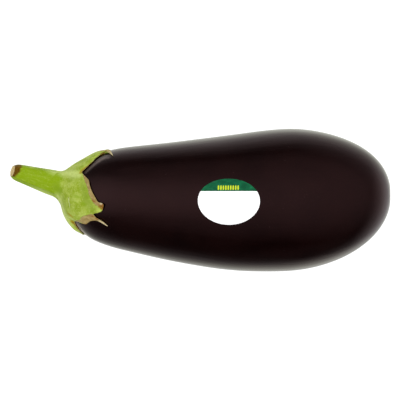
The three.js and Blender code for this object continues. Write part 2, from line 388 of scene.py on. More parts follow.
def stalk_point(along, turn, swell=1.0):
    """A point of the stalk's surface; swell widens or narrows it."""
    along, turn = np.broadcast_arrays(np.asarray(along, float), np.asarray(turn, float))
    angle = np.radians(turn)[..., None]
    axis = stalk_axis(along)
    side = unit(np.array([0.0, 1.0, 0.0]) - axis * axis[..., 1:2])
    up = np.cross(side, axis)
    radius = glide_through(STALK_SHARES, STALK_RADII, along / STALK_LENGTH) * swell
    for middle, height, half_width in STALK_RIDGES:
        ridge = np.exp(-(turn_apart(turn, middle) / half_width) ** 2)
        radius = radius + height * ridge * swell
    return stalk_line(along) + radius[..., None] * (side * np.cos(angle) + up * np.sin(angle))


print("stalk length in mm:", round(float(STALK_LENGTH), 2), "collar at", collar.round(2))

# %% [markdown]
# ## A piece from rings
# Stalk, calyx, prickle and label are all grown from rings that have their own shapes. Moving
# each vertex by hand would take days, so every vertex carries the number of its spoke and of its
# ring. Code reads the numbers after each extrusion and puts the vertices in their places.

# %% Grow a piece from rings
SPOKE, RING = "spoke", "ring"


def select_ring(mesh, numbers):
    """Selects the vertices of these rings and nothing else."""
    bpy.ops.mesh.select_all(action="DESELECT")
    bench = bmesh.from_edit_mesh(mesh)
    ring_number = bench.verts.layers.int[RING]
    for vertex in bench.verts:
        vertex.select = vertex[ring_number] in numbers
    bench.select_flush_mode()
    bmesh.update_edit_mesh(mesh)


def grow_rings(name, rings, first_pole=None, last_pole=None):
    """A closed piece from rings of equal spokes in mm, which end in poles or in each other."""
    rings = np.asarray(rings)
    piece = start_circle(name, rings.shape[1])
    mesh = piece.data
    for label in (SPOKE, RING):
        mesh.attributes.new(label, "INT", "POINT")
    mesh.attributes[SPOKE].data.foreach_set("value", np.arange(rings.shape[1], dtype=np.int32))
    start_editing("SELECT")
    for number, ring in enumerate(rings):
        if number:
            bpy.ops.mesh.extrude_region_move()
        bench = bmesh.from_edit_mesh(mesh)
        spoke = bench.verts.layers.int[SPOKE]
        ring_number = bench.verts.layers.int[RING]
        for vertex in bench.verts:
            if vertex.select:
                vertex.co = Vector(ring[vertex[spoke]]) * MM
                vertex[ring_number] = number
        bmesh.update_edit_mesh(mesh)
    if first_pole is None:
        select_ring(mesh, (0, len(rings) - 1))
        bpy.ops.mesh.bridge_edge_loops()
    else:
        close_to_point(last_pole)
        select_ring(mesh, (0,))
        close_to_point(first_pole)
    tidy_normals()
    return piece


print("numbers on each vertex:", SPOKE, RING)

# %% [markdown]
# ## The cut and its rim
# Where a stalk is clipped, the face dries tan and sinks a little, and the skin round it shrivels
# to a dark rim. A boolean cut would leave a sharp flat edge. So small rings step outwards from
# the middle of the face over the rim, and noise wrinkles them. The other rings run down the
# stalk into the calyx.

# %% Grow the stalk
STALK_SPOKES = 60
# The clipped end: distance back from the cut in mm, and share of the full radius. The face
# ends at FACE_SHARE; outside it the dry rim shrivels, most of all SHRIVEL_BACK mm from the cut.
FACE_SHARE = 0.69
CUT_RINGS = [(0.32, 0.14), (0.2, 0.34), (0.12, 0.52), (0.02, 0.62), (0.0, FACE_SHARE),
             (0.22, 0.745), (0.6, 0.8), (1.1, 0.865), (1.7, 0.925), (2.4, 0.97), (3.2, 0.995)]
BODY_STEP = 1.1
ROOT_RINGS = [(-0.6, 0.985), (-2.0, 0.93), (-3.6, 0.8)]
SHRIVEL, SHRIVEL_SIZE, SHRIVEL_SEED = 0.2, 1.1, 9.2
SHRIVEL_BACK, SHRIVEL_SPREAD = 0.7, 1.3
FACE_FIBRE, FACE_FIBRE_SIZE, FACE_FIBRE_SEED = 0.1, 0.6, 4.1
FACE_HOLLOW = 0.4

stalk_turns = 360 * np.arange(STALK_SPOKES) / STALK_SPOKES
body_start = STALK_LENGTH - CUT_RINGS[-1][0]
body_rows = np.linspace(body_start, 0, int(body_start / BODY_STEP) + 1)[1:]
stalk_rows = [(STALK_LENGTH - back, swell) for back, swell in CUT_RINGS]
stalk_rows += [(along, 1.0) for along in body_rows] + ROOT_RINGS
stalk_rings = []
for along, swell in stalk_rows:
    ring = stalk_point(along, stalk_turns, swell)
    near_cut = math.exp(-((STALK_LENGTH - along - SHRIVEL_BACK) / SHRIVEL_SPREAD) ** 2)
    wrinkle = ripple(ring, SHRIVEL_SIZE, SHRIVEL_SEED) * SHRIVEL * near_cut * (swell > FACE_SHARE)
    fibre = ripple(ring, FACE_FIBRE_SIZE, FACE_FIBRE_SEED) * FACE_FIBRE * (swell <= FACE_SHARE)
    ring = ring + unit(ring - stalk_line(along)) * wrinkle[:, None]
    stalk_rings.append(ring + stalk_axis(along) * fibre[:, None])
stalk = grow_rings("stalk", stalk_rings, stalk_line(STALK_LENGTH - FACE_HOLLOW),
                   stalk_line(ROOT_RINGS[-1][0]))
print("stalk rings:", len(stalk_rings))

# %% [markdown]
# ## Painted marks
# Dry strips, ochre spots, pale ribs and the fold each have a place of their own, and so do the
# painted highlights, painted light and painted shade on the green pieces and a painted reflection
# on the skin, so noise alone can't draw them. They could come from an image, but short strokes
# are easier to read and to
# change. A stroke is a path in millimetres. Inside it a vertex gets the weight 1, which fades out
# at the stroke's edge. The finishes turn these weights into colour later.

# %% Strokes
# Strokes in mm seen from above, each a path of (x, y, half width). Where a half width is below
# 0, only the stroke's soft edge shows.
STROKES = {
    "dry": [
        [(-63.6, 13.9, 0.5), (-62.2, 11.9, 1.2), (-61.0, 9.1, 1.3), (-59.8, 5.7, 1.3),
         (-58.7, 2.4, 1.6), (-57.4, -0.2, 1.5), (-55.6, -2.0, 1.1), (-53.8, -2.6, 1.1),
         (-53.0, -3.3, 0.88)],
        [(-68.2, -11.9, 0.44), (-66.4, -11.5, 0.66), (-64.7, -11.2, 1.4), (-63.0, -10.9, 2.3),
         (-61.3, -10.4, 2.1), (-59.7, -9.6, 1.9), (-57.7, -10.0, 1.9), (-55.8, -11.2, 1.5),
         (-53.6, -12.2, 0.99), (-51.4, -13.8, 0.77), (-49.9, -14.8, 0.5)],
        [(-63.9, 16.1, 0.28), (-60.4, 19.0, 0.33), (-56.7, 22.4, 0.33), (-54.4, 24.3, 0.39),
         (-52.6, 25.7, 0.5)],
        [(-53.5, 27.2, 0.5), (-51.2, 27.5, 0.88), (-49.7, 26.8, 0.99), (-48.7, 25.6, 0.77),
         (-47.5, 24.1, 0.5)],
    ],
    "brown": [
        [(-53.7, -3.7, 0.83), (-53.3, -4.5, 0.5)],
        [(-53.2, -2.5, 0.39), (-52.6, -3.1, 0.33)],
        [(-59.2, 0.2, 0.28), (-57.6, -0.9, 0.33), (-56.0, -1.4, 0.22)],
        [(-54.4, 27.5, 0.6), (-52.4, 28.1, 0.7), (-50.8, 28.1, 0.5)],
        [(-64.9, -12.9, 0.22), (-62.7, -13.4, 0.4), (-61.1, -12.9, 0.33), (-60.2, -12.0, 0.2)],
        [(-56.9, -10.1, 0.33), (-55.6, -10.7, 0.28)],
        [(-60.1, -8.7, 0.15), (-58.4, -9.1, 0.3), (-57.4, -9.7, 0.15)],
        [(-69.8, -12.3, 0.35), (-69.0, -12.4, 0.55), (-67.9, -14.5, 0.4), (-67.0, -16.3, 0.25)],
        [(-54.5, -3.3, 0.8), (-53.6, -4.2, 1.0), (-53.3, -5.1, 0.4)],
        [(-62.1, 17.9, 0.3), (-60.4, 19.4, 0.35), (-56.8, 22.7, 0.35), (-54.1, 24.9, 0.35),
         (-52.5, 26.0, 0.35)],
    ],
    "ochre": [
        [(-65.5, 14.8, 0.7), (-64.7, 15.6, 1.0), (-63.6, 16.9, 0.8), (-62.0, 18.2, 0.4)],
        [(-70.8, -11.6, 0.6), (-69.7, -12.3, 0.9), (-68.4, -13.4, 0.6)],
        [(-72.6, -7.0, 0.4), (-70.9, -8.5, 0.45), (-69.8, -9.4, 0.3)],
    ],
    "cream": [
        [(-50.2, 26.8, 0.55), (-48.7, 25.6, 0.61), (-47.6, 24.2, 0.39)],
        [(-54.2, -2.0, 0.5), (-53.4, -2.1, 0.39)],
        [(-55.0, -11.4, 0.5), (-52.8, -12.8, 0.5), (-49.9, -14.8, 0.33)],
    ],
    # Pale ribs, the fold and a pale band on the lower lobe, and painted highlights along the stalk's
    # upper and lower edges.
    "pale_and_highlight": [
        [(-73.6, -7.9, 0.3), (-72.2, -9.2, 0.5), (-70.7, -10.2, 0.6), (-68.6, -11.2, 0.6)],
        [(-92.9, 17.9, 0.44), (-87.6, 17.1, 0.55), (-82.2, 16.3, 0.61), (-77.8, 15.4, 0.55)],
        [(-90.4, 5.4, 0.28), (-86.6, 4.3, 0.39), (-82.2, 3.0, 0.44), (-78.3, 1.5, 0.5),
         (-76.4, -0.5, 0.55), (-75.4, -3.3, 0.5), (-75.0, -6.6, 0.33)],
        [(-72.9, -11.0, 0.44), (-70.6, -14.5, 0.72), (-67.8, -17.0, 0.66), (-64.8, -19.2, 0.44)],
        [(-55.3, -5.8, 0.72), (-54.2, -5.6, 0.66)],
        [(-72.5, 1.1, 0.3), (-73.4, -1.7, 0.35), (-73.8, -5.0, 0.3)],
    ],
    "deep": [
        [(-78.3, 7.5, 1.43), (-77.2, 5.5, 1.32), (-76.9, 2.7, 0.77)],
        [(-89.3, 4.6, 0.22), (-83.3, 2.7, 0.28), (-78.3, 0.7, 0.39)],
        [(-67.9, 2.1, 0.88), (-66.6, 1.4, 0.77)],
        [(-63.8, -1.9, 0.88), (-62.3, -2.5, 0.66)],
        [(-72.4, -7.5, 0.77), (-70.7, -9.0, 0.66)],
    ],
    # Painted light: broad paler areas on the calyx's flanks and along the stalk, where light falls
    # brighter.
    "painted_light": [
        [(-74.0, 15.0, 1.2), (-70.0, 14.5, 2.2), (-66.5, 13.8, 1.6)],
        [(-78.0, 2.5, 1.0), (-76.9, -2.5, 2.0), (-75.0, -8.0, 2.4), (-72.3, -13.0, 1.8),
         (-69.5, -17.5, 1.2)],
        [(-93.0, 7.2, 0.3), (-87.4, 5.0, 0.8), (-82.0, 2.8, 0.8), (-79.0, 1.2, 0.5)],
        [(-97.0, 17.0, 0.3), (-88.0, 16.4, 0.6), (-80.0, 15.2, 1.1), (-75.0, 14.5, 1.4)],
    ],
    # Painted shade: broad darker areas on the calyx and where the stalk meets it.
    "painted_shade": [
        [(-79.0, 7.8, 1.2), (-76.5, 5.5, 1.2)],
        [(-64.0, 9.0, 1.2), (-62.5, 3.0, 2.2), (-60.8, -1.0, 2.6), (-58.4, -5.0, 1.8)],
    ],
    # A painted reflection on the skin by the upper lobe.
    "lilac_and_reflection": [
        [(-62.6, 15.0, -0.5), (-60.2, 17.4, -0.3), (-57.6, 19.6, -0.2), (-54.8, 21.8, 0.0),
         (-52.2, 23.3, 0.0), (-49.9, 23.2, -0.4)],
    ],
}
print("strokes:", {name: len(paths) for name, paths in STROKES.items()})

# %% Brush
# Paint stays on the upper side: it fades over UPPER_FADE mm and is gone UPPER_DEPTH mm below the
# fruit's middle. Height counts for less than length and width, so strokes run on down a flank.
UPPER_DEPTH = 7.0
UPPER_FADE = 5.0
FLANK_STRETCH = 0.4
SHORTEST = 1e-9


def soft_step(value):
    """Rises smoothly from 0 at 0 to 1 at 1."""
    value = np.clip(value, 0, 1)
    return value * value * (3 - 2 * value)


def soft_edge(inside, softness):
    """1 well inside an edge and 0 well outside it; inside is the way in from the edge."""
    return soft_step(inside / softness + 0.5)


def apart_from(places, start, end):
    """How far places are from a straight piece of line, and their share of the way along it."""
    along = end - start
    share = np.clip(((places - start) @ along) / max(along @ along, SHORTEST), 0, 1)
    return np.linalg.norm(places - start - share[:, None] * along, axis=1), share


def brush(places, paths, softness):
    """Weights of 1 inside tapering strokes on the upper side, falling to 0 outside them."""
    weight = np.zeros(len(places))
    above = soft_step((places[:, 2] - centre_at(places[:, 0])[:, 2] + UPPER_DEPTH) / UPPER_FADE)
    space = places * [1, 1, FLANK_STRETCH]
    upper = space[above == 1]
    for path in paths:
        points = np.array(path)
        nearest = [np.argmin(np.hypot(upper[:, 0] - x, upper[:, 1] - y)) for x, y, width in path]
        bristles = np.column_stack([points[:, :2], upper[nearest, 2]])
        for start, end, first, last in zip(bristles, bristles[1:], points[:, 2], points[1:, 2]):
            apart, share = apart_from(space, start, end)
            width = first + (last - first) * share
            weight = np.maximum(weight, soft_edge(width - apart, softness))
    return weight * above


def paint(piece, name, values):
    """Stores one number, or one vector, for each vertex of a piece."""
    values = np.asarray(values, float)
    kind = "FLOAT_VECTOR" if values.ndim == 2 else "FLOAT"
    attribute = piece.data.attributes.new(name, kind, "POINT")
    attribute.data.foreach_set("vector" if values.ndim == 2 else "value", values.ravel())


print("brush on the upper side, down to mm below the middle:", UPPER_DEPTH)

# %% [markdown]
# ## Paint and fibres on the green pieces
# Stalk and calyx carry the same kinds of paint. Their fibres also need a direction: they run
# along the stalk and spread out with the lobes. A UV map could give it, but it has a seam.
# Coordinates made of the turn round the stalk and the run along it have none.

# %% Paint and finish the green pieces
GRAIN_RADIUS = 8.0
# How softly each paint of the green pieces ends, in mm. The two broad paints are painted light
# and painted shade.
GREEN_PAINTS = {"dry": 0.5, "brown": 0.5, "ochre": 0.5, "cream": 0.5, "pale_and_highlight": 0.5, "deep": 0.5,
                "painted_light": 4.0, "painted_shade": 4.0}


def ring_and_spoke(piece):
    """The ring number and the spoke number of every vertex."""
    numbers = np.zeros((2, len(piece.data.vertices)), np.int32)
    for row, label in zip(numbers, (RING, SPOKE)):
        piece.data.attributes[label].data.foreach_get("value", row)
    return numbers


def grain_vector(turn, run):
    """Coordinates for fibres: round the stalk by turn and along it by run, in mm."""
    angle = np.radians(turn)
    return np.stack([GRAIN_RADIUS * np.cos(angle), GRAIN_RADIUS * np.sin(angle), run], axis=-1)


def paint_green(piece):
    """Stores every stroke on a green piece."""
    places = vertex_places(piece)
    for name, softness in GREEN_PAINTS.items():
        paint(piece, name, brush(places, STROKES[name], softness))


def complete(piece, levels):
    """Removes the helper numbers of grow_rings and smooths the piece."""
    for label in (SPOKE, RING):
        piece.data.attributes.remove(piece.data.attributes[label])
    smooth_out(piece, levels)
    print(piece.name, "faces:", len(piece.data.polygons))


print("green paints:", list(GREEN_PAINTS))

# %% [markdown]
# ## Bark round the cut
# The rim at the cut is dead, dark bark that reaches further back on one side, and the face inside
# it is dry and tan. Both could be brushed on by hand. Here they follow from how far each vertex is
# from the cut and from the middle of the stalk.

# %% Paint and finish the stalk
# The bark reaches about BARK_REACH mm back from the cut, most of all at BARK_TURN, and wavers.
BARK_REACH, BARK_LEAN, BARK_TURN = 2.0, 1.7, 20.0
BARK_WAVER, BARK_WAVER_SIZE, BARK_WAVER_SEED = 0.7, 1.6, 5.5
BARK_SOFTNESS = 0.9
# The face's own colour ends at CUT_SHARE of the radius and CUT_DEPTH mm back from the cut.
CUT_SHARE, CUT_SOFTNESS, CUT_DEPTH = 0.7, 0.06, 1.0

ring, spoke = ring_and_spoke(stalk)
row_along, row_swell = np.array(stalk_rows).T
back, swell, stalk_turn = STALK_LENGTH - row_along[ring], row_swell[ring], stalk_turns[spoke]
paint(stalk, "grain", grain_vector(stalk_turn, back - STALK_LENGTH))
bark_edge = BARK_REACH + BARK_LEAN * np.cos(np.radians(stalk_turn - BARK_TURN))
bark_edge += BARK_WAVER * ripple(vertex_places(stalk), BARK_WAVER_SIZE, BARK_WAVER_SEED)
paint(stalk, "bark", soft_edge(bark_edge - back, BARK_SOFTNESS))
paint(stalk, "cut", soft_edge(CUT_SHARE - swell, CUT_SOFTNESS) * (back < CUT_DEPTH))
paint_green(stalk)
complete(stalk, 1)

# %% [markdown]
# ## The calyx
# The calyx is the green cap that once held the flower. It is thick and fleshy where it leaves
# the stalk, lies on the skin with pointed lobes, and dries to tan paper along its edges. A flat
# cut-out could be wrapped on the fruit, but the lobes hug a surface that curves both ways. So
# each spoke runs down the stalk, turns outwards in a fillet, follows the skin to its own edge,
# and comes back underneath.

# %% The calyx's edge, station by station
# Turn in degrees and reach in mm. Where the tip leans sideways: also the lean in degrees and
# the length that leans in mm; elsewhere they are USUAL_LEAN.
USUAL_LEAN = (0, 2)
EDGE_STATIONS = [
    (3, 38.2), (8, 38.7, 0.5, 2), (12, 39.7, 5.2, 2), (14.2, 40.7, 10.8, 2.3),
    (15.4, 41.5, 17, 2.7), (16.2, 40.2, 10.5, 2.2), (17, 38.8, 2.4, 2), (17.7, 37.8, -3.4, 1.8),
    (18.6, 36.8, -3.8, 2), (20, 35.6, -3.2, 2.5), (22.2, 33.9, -2.4, 3), (25.2, 31.5, -0.8, 3),
    (30.5, 29.5, 0, 3), (36.8, 26.3, 0, 3), (43.8, 22.8), (51, 24), (58.5, 26), (64.5, 27.5),
    (73, 28.3), (82, 29.9), (90, 31.7), (94.6, 33.4), (96.1, 35, -0.5, 2), (97.7, 36.4, -0.5, 2),
    (101.4, 36.5, -0.5, 2), (105.3, 35.5), (108.4, 33.4), (110.8, 30.5), (113.8, 32, 1.2, 4),
    (114.8, 34.4, 2.1, 6), (115.8, 36.9, 4.2, 7.5), (116.7, 39.1, 7, 8.8), (117.5, 36.4, 3.4, 6.5),
    (118.4, 33.4, 0.5, 4), (119.9, 30.6, -0.5, 2), (123.2, 28), (127.8, 26.8), (131, 25),
    (134, 22.2), (138.5, 19.4), (144, 17.6), (150, 17.2), (156, 17.9), (163, 19.6), (171, 22),
    (179, 23.3), (186, 23.5), (194, 24.2), (202, 27.5), (208.5, 32.2), (214.5, 30.5), (221, 26),
    (230, 21.5), (239, 26), (247, 32), (254, 36.6), (261, 32.5), (269, 26.5), (278, 21.5),
    (287, 26), (295.5, 32), (302, 36.4), (309.5, 32.5), (318, 26.5), (328, 21.7), (337, 26),
    (346, 32.5), (355, 37.6),
]
SPOKES_PER_STATION = 4
RAGGED, RAGGED_SIZE, RAGGED_SEED = 0.28, 1.4, 6.3


def glide_round(values, where):
    """The same smooth line through values which follow each other in a circle."""
    numbers = np.arange(-2, len(values) + 2)
    return glide_through(numbers, values[numbers % len(values)], where)


stations = np.array([(*station, *USUAL_LEAN)[:4] for station in EDGE_STATIONS])
station_count = len(stations)
station_place = np.arange(station_count * SPOKES_PER_STATION) / SPOKES_PER_STATION
bend = stations[:, 0] - 360 * np.arange(station_count) / station_count
edge_turn = glide_round(bend, station_place) + 360 * station_place / station_count
edge_reach, edge_lean, edge_tail = (glide_round(column, station_place)
                                    for column in stations[:, 1:].T)
edge_places = skin_point(edge_reach, edge_turn)
edge_reach = edge_reach + RAGGED * ripple(edge_places, RAGGED_SIZE, RAGGED_SEED)
edge_root = edge_reach - edge_tail
print("calyx spokes:", len(edge_turn))

# %% [markdown]
# ## How thick the calyx is
# The cap is thickest on the shoulder round the stalk, thin at its dry edge, ribbed towards each
# lobe, and curls up where it has dried most. A Solidify modifier would give it one thickness
# everywhere. Two formulas for the height above the skin, one for each face, give all of this.

# %% Heights of the calyx above the skin
# The height in mm rises from the edge to LOBE_HEIGHT over FULL_DEPTH. The shoulder, highest at
# SHOULDER_REACH, stands SHOULDER_RISE above that, and SHOULDER_DROP less towards +Y.
EDGE_HEIGHT = 0.75
LOBE_HEIGHT = 1.1
FULL_DEPTH = 4.5
SHOULDER_RISE, SHOULDER_DROP = 2.0, 0.6
SHOULDER_REACH, SHOULDER_SPREAD = 10, 10
# The calyx is thin at its edge and EXTRA_THICKNESS thicker over EXTRA_DEPTH; its underside
# keeps CALYX_GAP off the skin.
EDGE_THICKNESS = 0.5
EXTRA_THICKNESS, EXTRA_DEPTH = 2.6, 5
CALYX_GAP = 0.14
# Ribs fade out over RIB_DEPTH from the edge, and over RIB_FADE from the reach RIB_START.
RIB_DEPTH, RIB_START, RIB_FADE = 6, 3, 9
# Ribs and valleys: turn in degrees, height in mm, half width in degrees.
CALYX_RIBS = [(4, 0.8, 16), (47, -0.35, 11), (97, 0.35, 13), (143, -0.3, 10), (176, 0.3, 14),
              (208, 0.35, 9), (230, -0.35, 9), (254, 0.45, 9), (278, -0.35, 9), (302, 0.45, 9),
              (328, -0.35, 9)]
# Places where the dry edge curls up: turn, half width in degrees, lift and depth in mm.
CURLS = [(16, 3.5, 0.55, 2.2), (99, 5, 0.75, 2.0), (76, 15, 0.25, 1.1), (122, 7, 0.65, 2.4),
         (117, 1.8, 0.35, 5.0), (130, 5, 0.5, 1.8), (208, 4, 0.4, 2.0),
         (254, 4, 0.6, 2.2), (302, 4, 0.6, 2.2), (355, 12, 0.2, 1.2)]


def calyx_top(reach, turn, inwards):
    """Height of the calyx's upper face above the skin; inwards is the way in from the edge."""
    shoulder = SHOULDER_RISE - SHOULDER_DROP * np.maximum(np.cos(np.radians(turn)), 0)
    fleshy = LOBE_HEIGHT + shoulder * np.exp(-((reach - SHOULDER_REACH) / SHOULDER_SPREAD) ** 2)
    height = EDGE_HEIGHT + (fleshy - EDGE_HEIGHT) * soft_step(inwards / FULL_DEPTH)
    relief = sum(rise * np.exp(-(turn_apart(turn, middle) / width) ** 2)
                 for middle, rise, width in CALYX_RIBS)
    height = height + (relief * soft_step(inwards / RIB_DEPTH)
                       * soft_step((reach - RIB_START) / RIB_FADE))
    for middle, width, lift, depth in CURLS:
        height = height + (lift * np.exp(-(turn_apart(turn, middle) / width) ** 2)
                           * np.exp(-(inwards / depth) ** 2))
    return height


def calyx_under(reach, turn, inwards):
    """Height of the calyx's lower face: thin at the edge, close to the skin further in."""
    thickness = EDGE_THICKNESS + EXTRA_THICKNESS * soft_step(inwards / EXTRA_DEPTH)
    return np.maximum(calyx_top(reach, turn, inwards) - thickness, CALYX_GAP)


print("ribs:", len(CALYX_RIBS), "curls:", len(CURLS))

# %% [markdown]
# ## From the stalk to the edge and back
# In section the calyx starts inside the stalk, turns outwards in a fillet, runs over the skin to
# the edge, rounds it, and comes back underneath, where nobody sees it but no gap may show. Each
# row is one such place on all spokes at once, so the rows together are a closed band.

# %% Rows of the calyx
# The calyx leaves the stalk START_ALONG mm from the collar and lands on the skin at
# LANDING_REACH. Both lie further out at the top and the underside, the landing at +Y too.
START_ALONG, START_TOP = 3.4, 4.0
LANDING_REACH, LANDING_SHIFT, LANDING_TOP = 12.0, 3.5, 7.0
# The fillet's handles as shares of its span, and steps in mm that give its two directions.
LEAVE_HANDLE, ARRIVE_HANDLE = 0.45, 0.4
LEAVE_STEP, ARRIVE_STEP = 0.3, 0.5
# Rows that root the calyx in the stalk: mm back from the start, share of the stalk's radius.
ROOT_ROWS = [(1.5, 0.8), (0.0, 0.96), (0.0, 1.0)]
FILLET_SHARES = [0.08, 0.2, 0.33, 0.46, 0.59, 0.72, 0.86, 1.0]
LOBE_SHARES = [0.09, 0.19, 0.3, 0.42, 0.55, 0.68, 0.8, 0.9, 1.0]
LEAN_SHARES = [0.3, 0.55, 0.75, 0.9, 1.0]
UNDER_LEANS = [0.96, 0.75, 0.4]
UNDER_SHARES = [1.0, 0.7, 0.35, 0.0]
NECK_SHARES = [0.66, 0.33]
RIM_BULGE = 0.12

upright = np.sin(np.radians(edge_turn)) ** 2
landing = LANDING_REACH + LANDING_SHIFT * np.cos(np.radians(edge_turn)) + LANDING_TOP * upright
calyx_start = START_ALONG + START_TOP * upright


def lobe_place(share, lean):
    """Reach, turn and way in from the edge, for a share of the lobe and of its leaning tip."""
    reach = landing + (edge_root - landing) * share + edge_tail * lean
    turn = edge_turn + edge_lean * lean
    return reach, turn, edge_reach - reach


def lobe_row(share, lean, face):
    """A row of the calyx over the skin and its reach; face gives its height."""
    reach, turn, inwards = lobe_place(share, lean)
    return above_skin(reach, turn, face(reach, turn, inwards)), reach


def fillet_row(share):
    """A row of the fillet between the stalk and the shoulder, and its run."""
    start = stalk_point(calyx_start, edge_turn)
    leave = unit(stalk_point(calyx_start - LEAVE_STEP, edge_turn) - start)
    end, _ = lobe_row(0, 0, calyx_top)
    ahead_reach = landing + ARRIVE_STEP
    ahead = above_skin(ahead_reach, edge_turn,
                       calyx_top(ahead_reach, edge_turn, edge_reach - ahead_reach))
    arrive = unit(ahead - end)
    span = np.linalg.norm(end - start, axis=1, keepdims=True)
    handles = (start, start + leave * span * LEAVE_HANDLE, end - arrive * span * ARRIVE_HANDLE, end)
    return bezier(handles, share), -calyx_start + (landing + calyx_start) * share


def rim_row():
    """The row round the very edge, midway between the two faces, and its reach."""
    reach, turn, inwards = lobe_place(1, 1)
    height = (calyx_top(reach, turn, inwards) + calyx_under(reach, turn, inwards)) / 2
    return above_skin(reach + RIM_BULGE, turn, height), reach


# Each row goes with its run: mm along the skin, or below 0 the mm up the stalk.
over_rows = [(stalk_point(calyx_start - back, edge_turn, swell), back - calyx_start)
             for back, swell in ROOT_ROWS]
over_rows += [fillet_row(share) for share in FILLET_SHARES]
over_rows += [lobe_row(share, 0, calyx_top) for share in LOBE_SHARES]
over_rows += [lobe_row(1, lean, calyx_top) for lean in LEAN_SHARES]
rim_number = len(over_rows)
under_rows = [lobe_row(1, lean, calyx_under) for lean in UNDER_LEANS]
under_rows += [lobe_row(share, 0, calyx_under) for share in UNDER_SHARES]
under_rows += [(above_skin(landing * share, edge_turn, np.full_like(edge_turn, CALYX_GAP)),
                landing * share) for share in NECK_SHARES]
calyx_rows, calyx_runs = (np.array(part) for part in zip(*over_rows, rim_row(), *under_rows))
print("calyx rows and spokes:", calyx_rows.shape[:2])

# %% [markdown]
# ## Lumps, folds and crumpled edges
# Living green tissue has soft lumps, and tissue that dries shrinks and crumples. Both could be
# sculpted. Noise does it evenly, and the dry strips and the rim say where the crumpling goes.

# %% Grow, crumple and paint the calyx
# Lumps: size and height in mm, and seed. They come in over LUMP_FADE mm.
LUMPS = [(5.5, 0.16, 2.3), (1.9, 0.05, 7.7)]
LUMP_FADE = 5
# The dry parts crumple, and so does all that lies within CRUMPLE_RIM mm of the rim.
CRUMPLE, CRUMPLE_SIZE, CRUMPLE_SEED = 0.16, 0.9, 1.9
CRUMPLE_RIM, CRUMPLE_SOFTNESS = 1.2, 1.0
# The fold by the lower lobe is the first pale stroke, raised.
FOLD_RIDGE, FOLD_SOFTNESS = 0.3, 1.2
# The calyx follows the skin's dents, fully from this run on.
DENT_FADE = 8
# The dry margin is wider where the surface turns down.
UNDER_DRYNESS, UNDER_TURN = 1.6, 3

calyx = grow_rings("calyx", calyx_rows)
places = vertex_places(calyx)
ring, spoke = ring_and_spoke(calyx)
run = calyx_runs[ring, spoke]
over = (ring >= len(ROOT_ROWS)) & (ring < rim_number)
rim_line = calyx_rows[rim_number]
rim_apart = np.min([apart_from(places, start, end)[0]
                    for start, end in zip(rim_line, np.roll(rim_line, -1, axis=0))], axis=0)
dry_paint = brush(places, STROKES["dry"], CRUMPLE_SOFTNESS)
outward = unit(places - centre_at(places[:, 0]))
lumps = sum(depth * ripple(places, size, seed) for size, depth, seed in LUMPS)
lumps = lumps * soft_step((run + START_ALONG) / LUMP_FADE) * over
lumps = lumps + FOLD_RIDGE * brush(places, STROKES["pale_and_highlight"][:1], FOLD_SOFTNESS) * over
places = places + (with_dents(places) - places) * soft_step(run / DENT_FADE)[:, None]
crumple = CRUMPLE * ripple(places, CRUMPLE_SIZE, CRUMPLE_SEED) * np.maximum(
    dry_paint, soft_step(1 - rim_apart / CRUMPLE_RIM)) * over
write_places(calyx, places + outward * (lumps + crumple)[:, None])

paint(calyx, "grain", grain_vector(edge_turn[spoke], run))
underside = soft_step(-outward[:, 2] * UNDER_TURN)
paint(calyx, "rim", rim_apart / (1 + UNDER_DRYNESS * underside))
paint(calyx, "bark", np.zeros(len(places)))
paint(calyx, "cut", np.zeros(len(places)))
paint_green(calyx)
complete(calyx, 1)

# %% [markdown]
# ## The prickle
# Many calyces carry a few slender prickles. One lies along the cap here. A cone would look
# stiff, so it is grown from small rings along a slightly wavy path over the calyx.

# %% Grow the prickle
# The path seen from above with its radius, and its height over the calyx, all in mm.
PRICKLE_PATH = [(-71.7, 1.4, 0.3), (-71.9, -0.4, 0.26), (-71.5, -2.0, 0.2), (-71.5, -3.4, 0.13),
                (-71.4, -4.3, 0.05)]
PRICKLE_LIFT = [-0.25, 0.2, 0.34, 0.4, 0.45]
PRICKLE_TIP = 0.1
PRICKLE_SPOKES = 12
PRICKLE_RINGS = 14
RAY_START = 1.0

calyx_surface = BVHTree.FromPolygons([vertex.co for vertex in calyx.data.vertices],
                                     [polygon.vertices for polygon in calyx.data.polygons])


def height_under(x, y):
    """Height in mm of the calyx's upper face below a point."""
    hit = calyx_surface.ray_cast(Vector((x * MM, y * MM, RAY_START)), Vector((0, 0, -1)))[0]
    return hit.z / MM


path_share = np.linspace(0, 1, len(PRICKLE_PATH))
ring_share = np.linspace(0, 1, PRICKLE_RINGS)
across_x, across_y, prickle_width, prickle_lift = (
    glide_through(path_share, column, ring_share) for column in (*zip(*PRICKLE_PATH), PRICKLE_LIFT))
prickle_line = np.array([[x, y, height_under(x, y) + lift]
                         for x, y, lift in zip(across_x, across_y, prickle_lift)])
prickle_axis = unit(np.gradient(prickle_line, axis=0))
angle = 2 * np.pi * np.arange(PRICKLE_SPOKES) / PRICKLE_SPOKES
prickle_rings = []
for middle, axis, width in zip(prickle_line, prickle_axis, prickle_width):
    side = unit(np.cross(axis, np.array([0.0, 0.0, 1.0])))
    circle = np.outer(np.cos(angle), side) + np.outer(np.sin(angle), np.cross(side, axis))
    prickle_rings.append(middle + width * circle)
prickle = grow_rings("prickle", prickle_rings, prickle_line[0],
                     prickle_line[-1] + prickle_axis[-1] * PRICKLE_TIP)
complete(prickle, 1)

# %% [markdown]
# ## The label
# A small oval of coated paper sticks to the upper side. A flat disc would float off the curved
# skin, so its rings are laid on the skin by reach and turn, with a thin edge.

# %% Lay the label
# Sizes in mm. The upper face lies LABEL_TOP above the skin, and the lower one sinks into it.
LABEL_X = 15.6
LABEL_TURN = 89.1
LABEL_HALF_LENGTH = 16.9
LABEL_HALF_WIDTH = 12.7
LABEL_TILT = math.radians(-1.3)
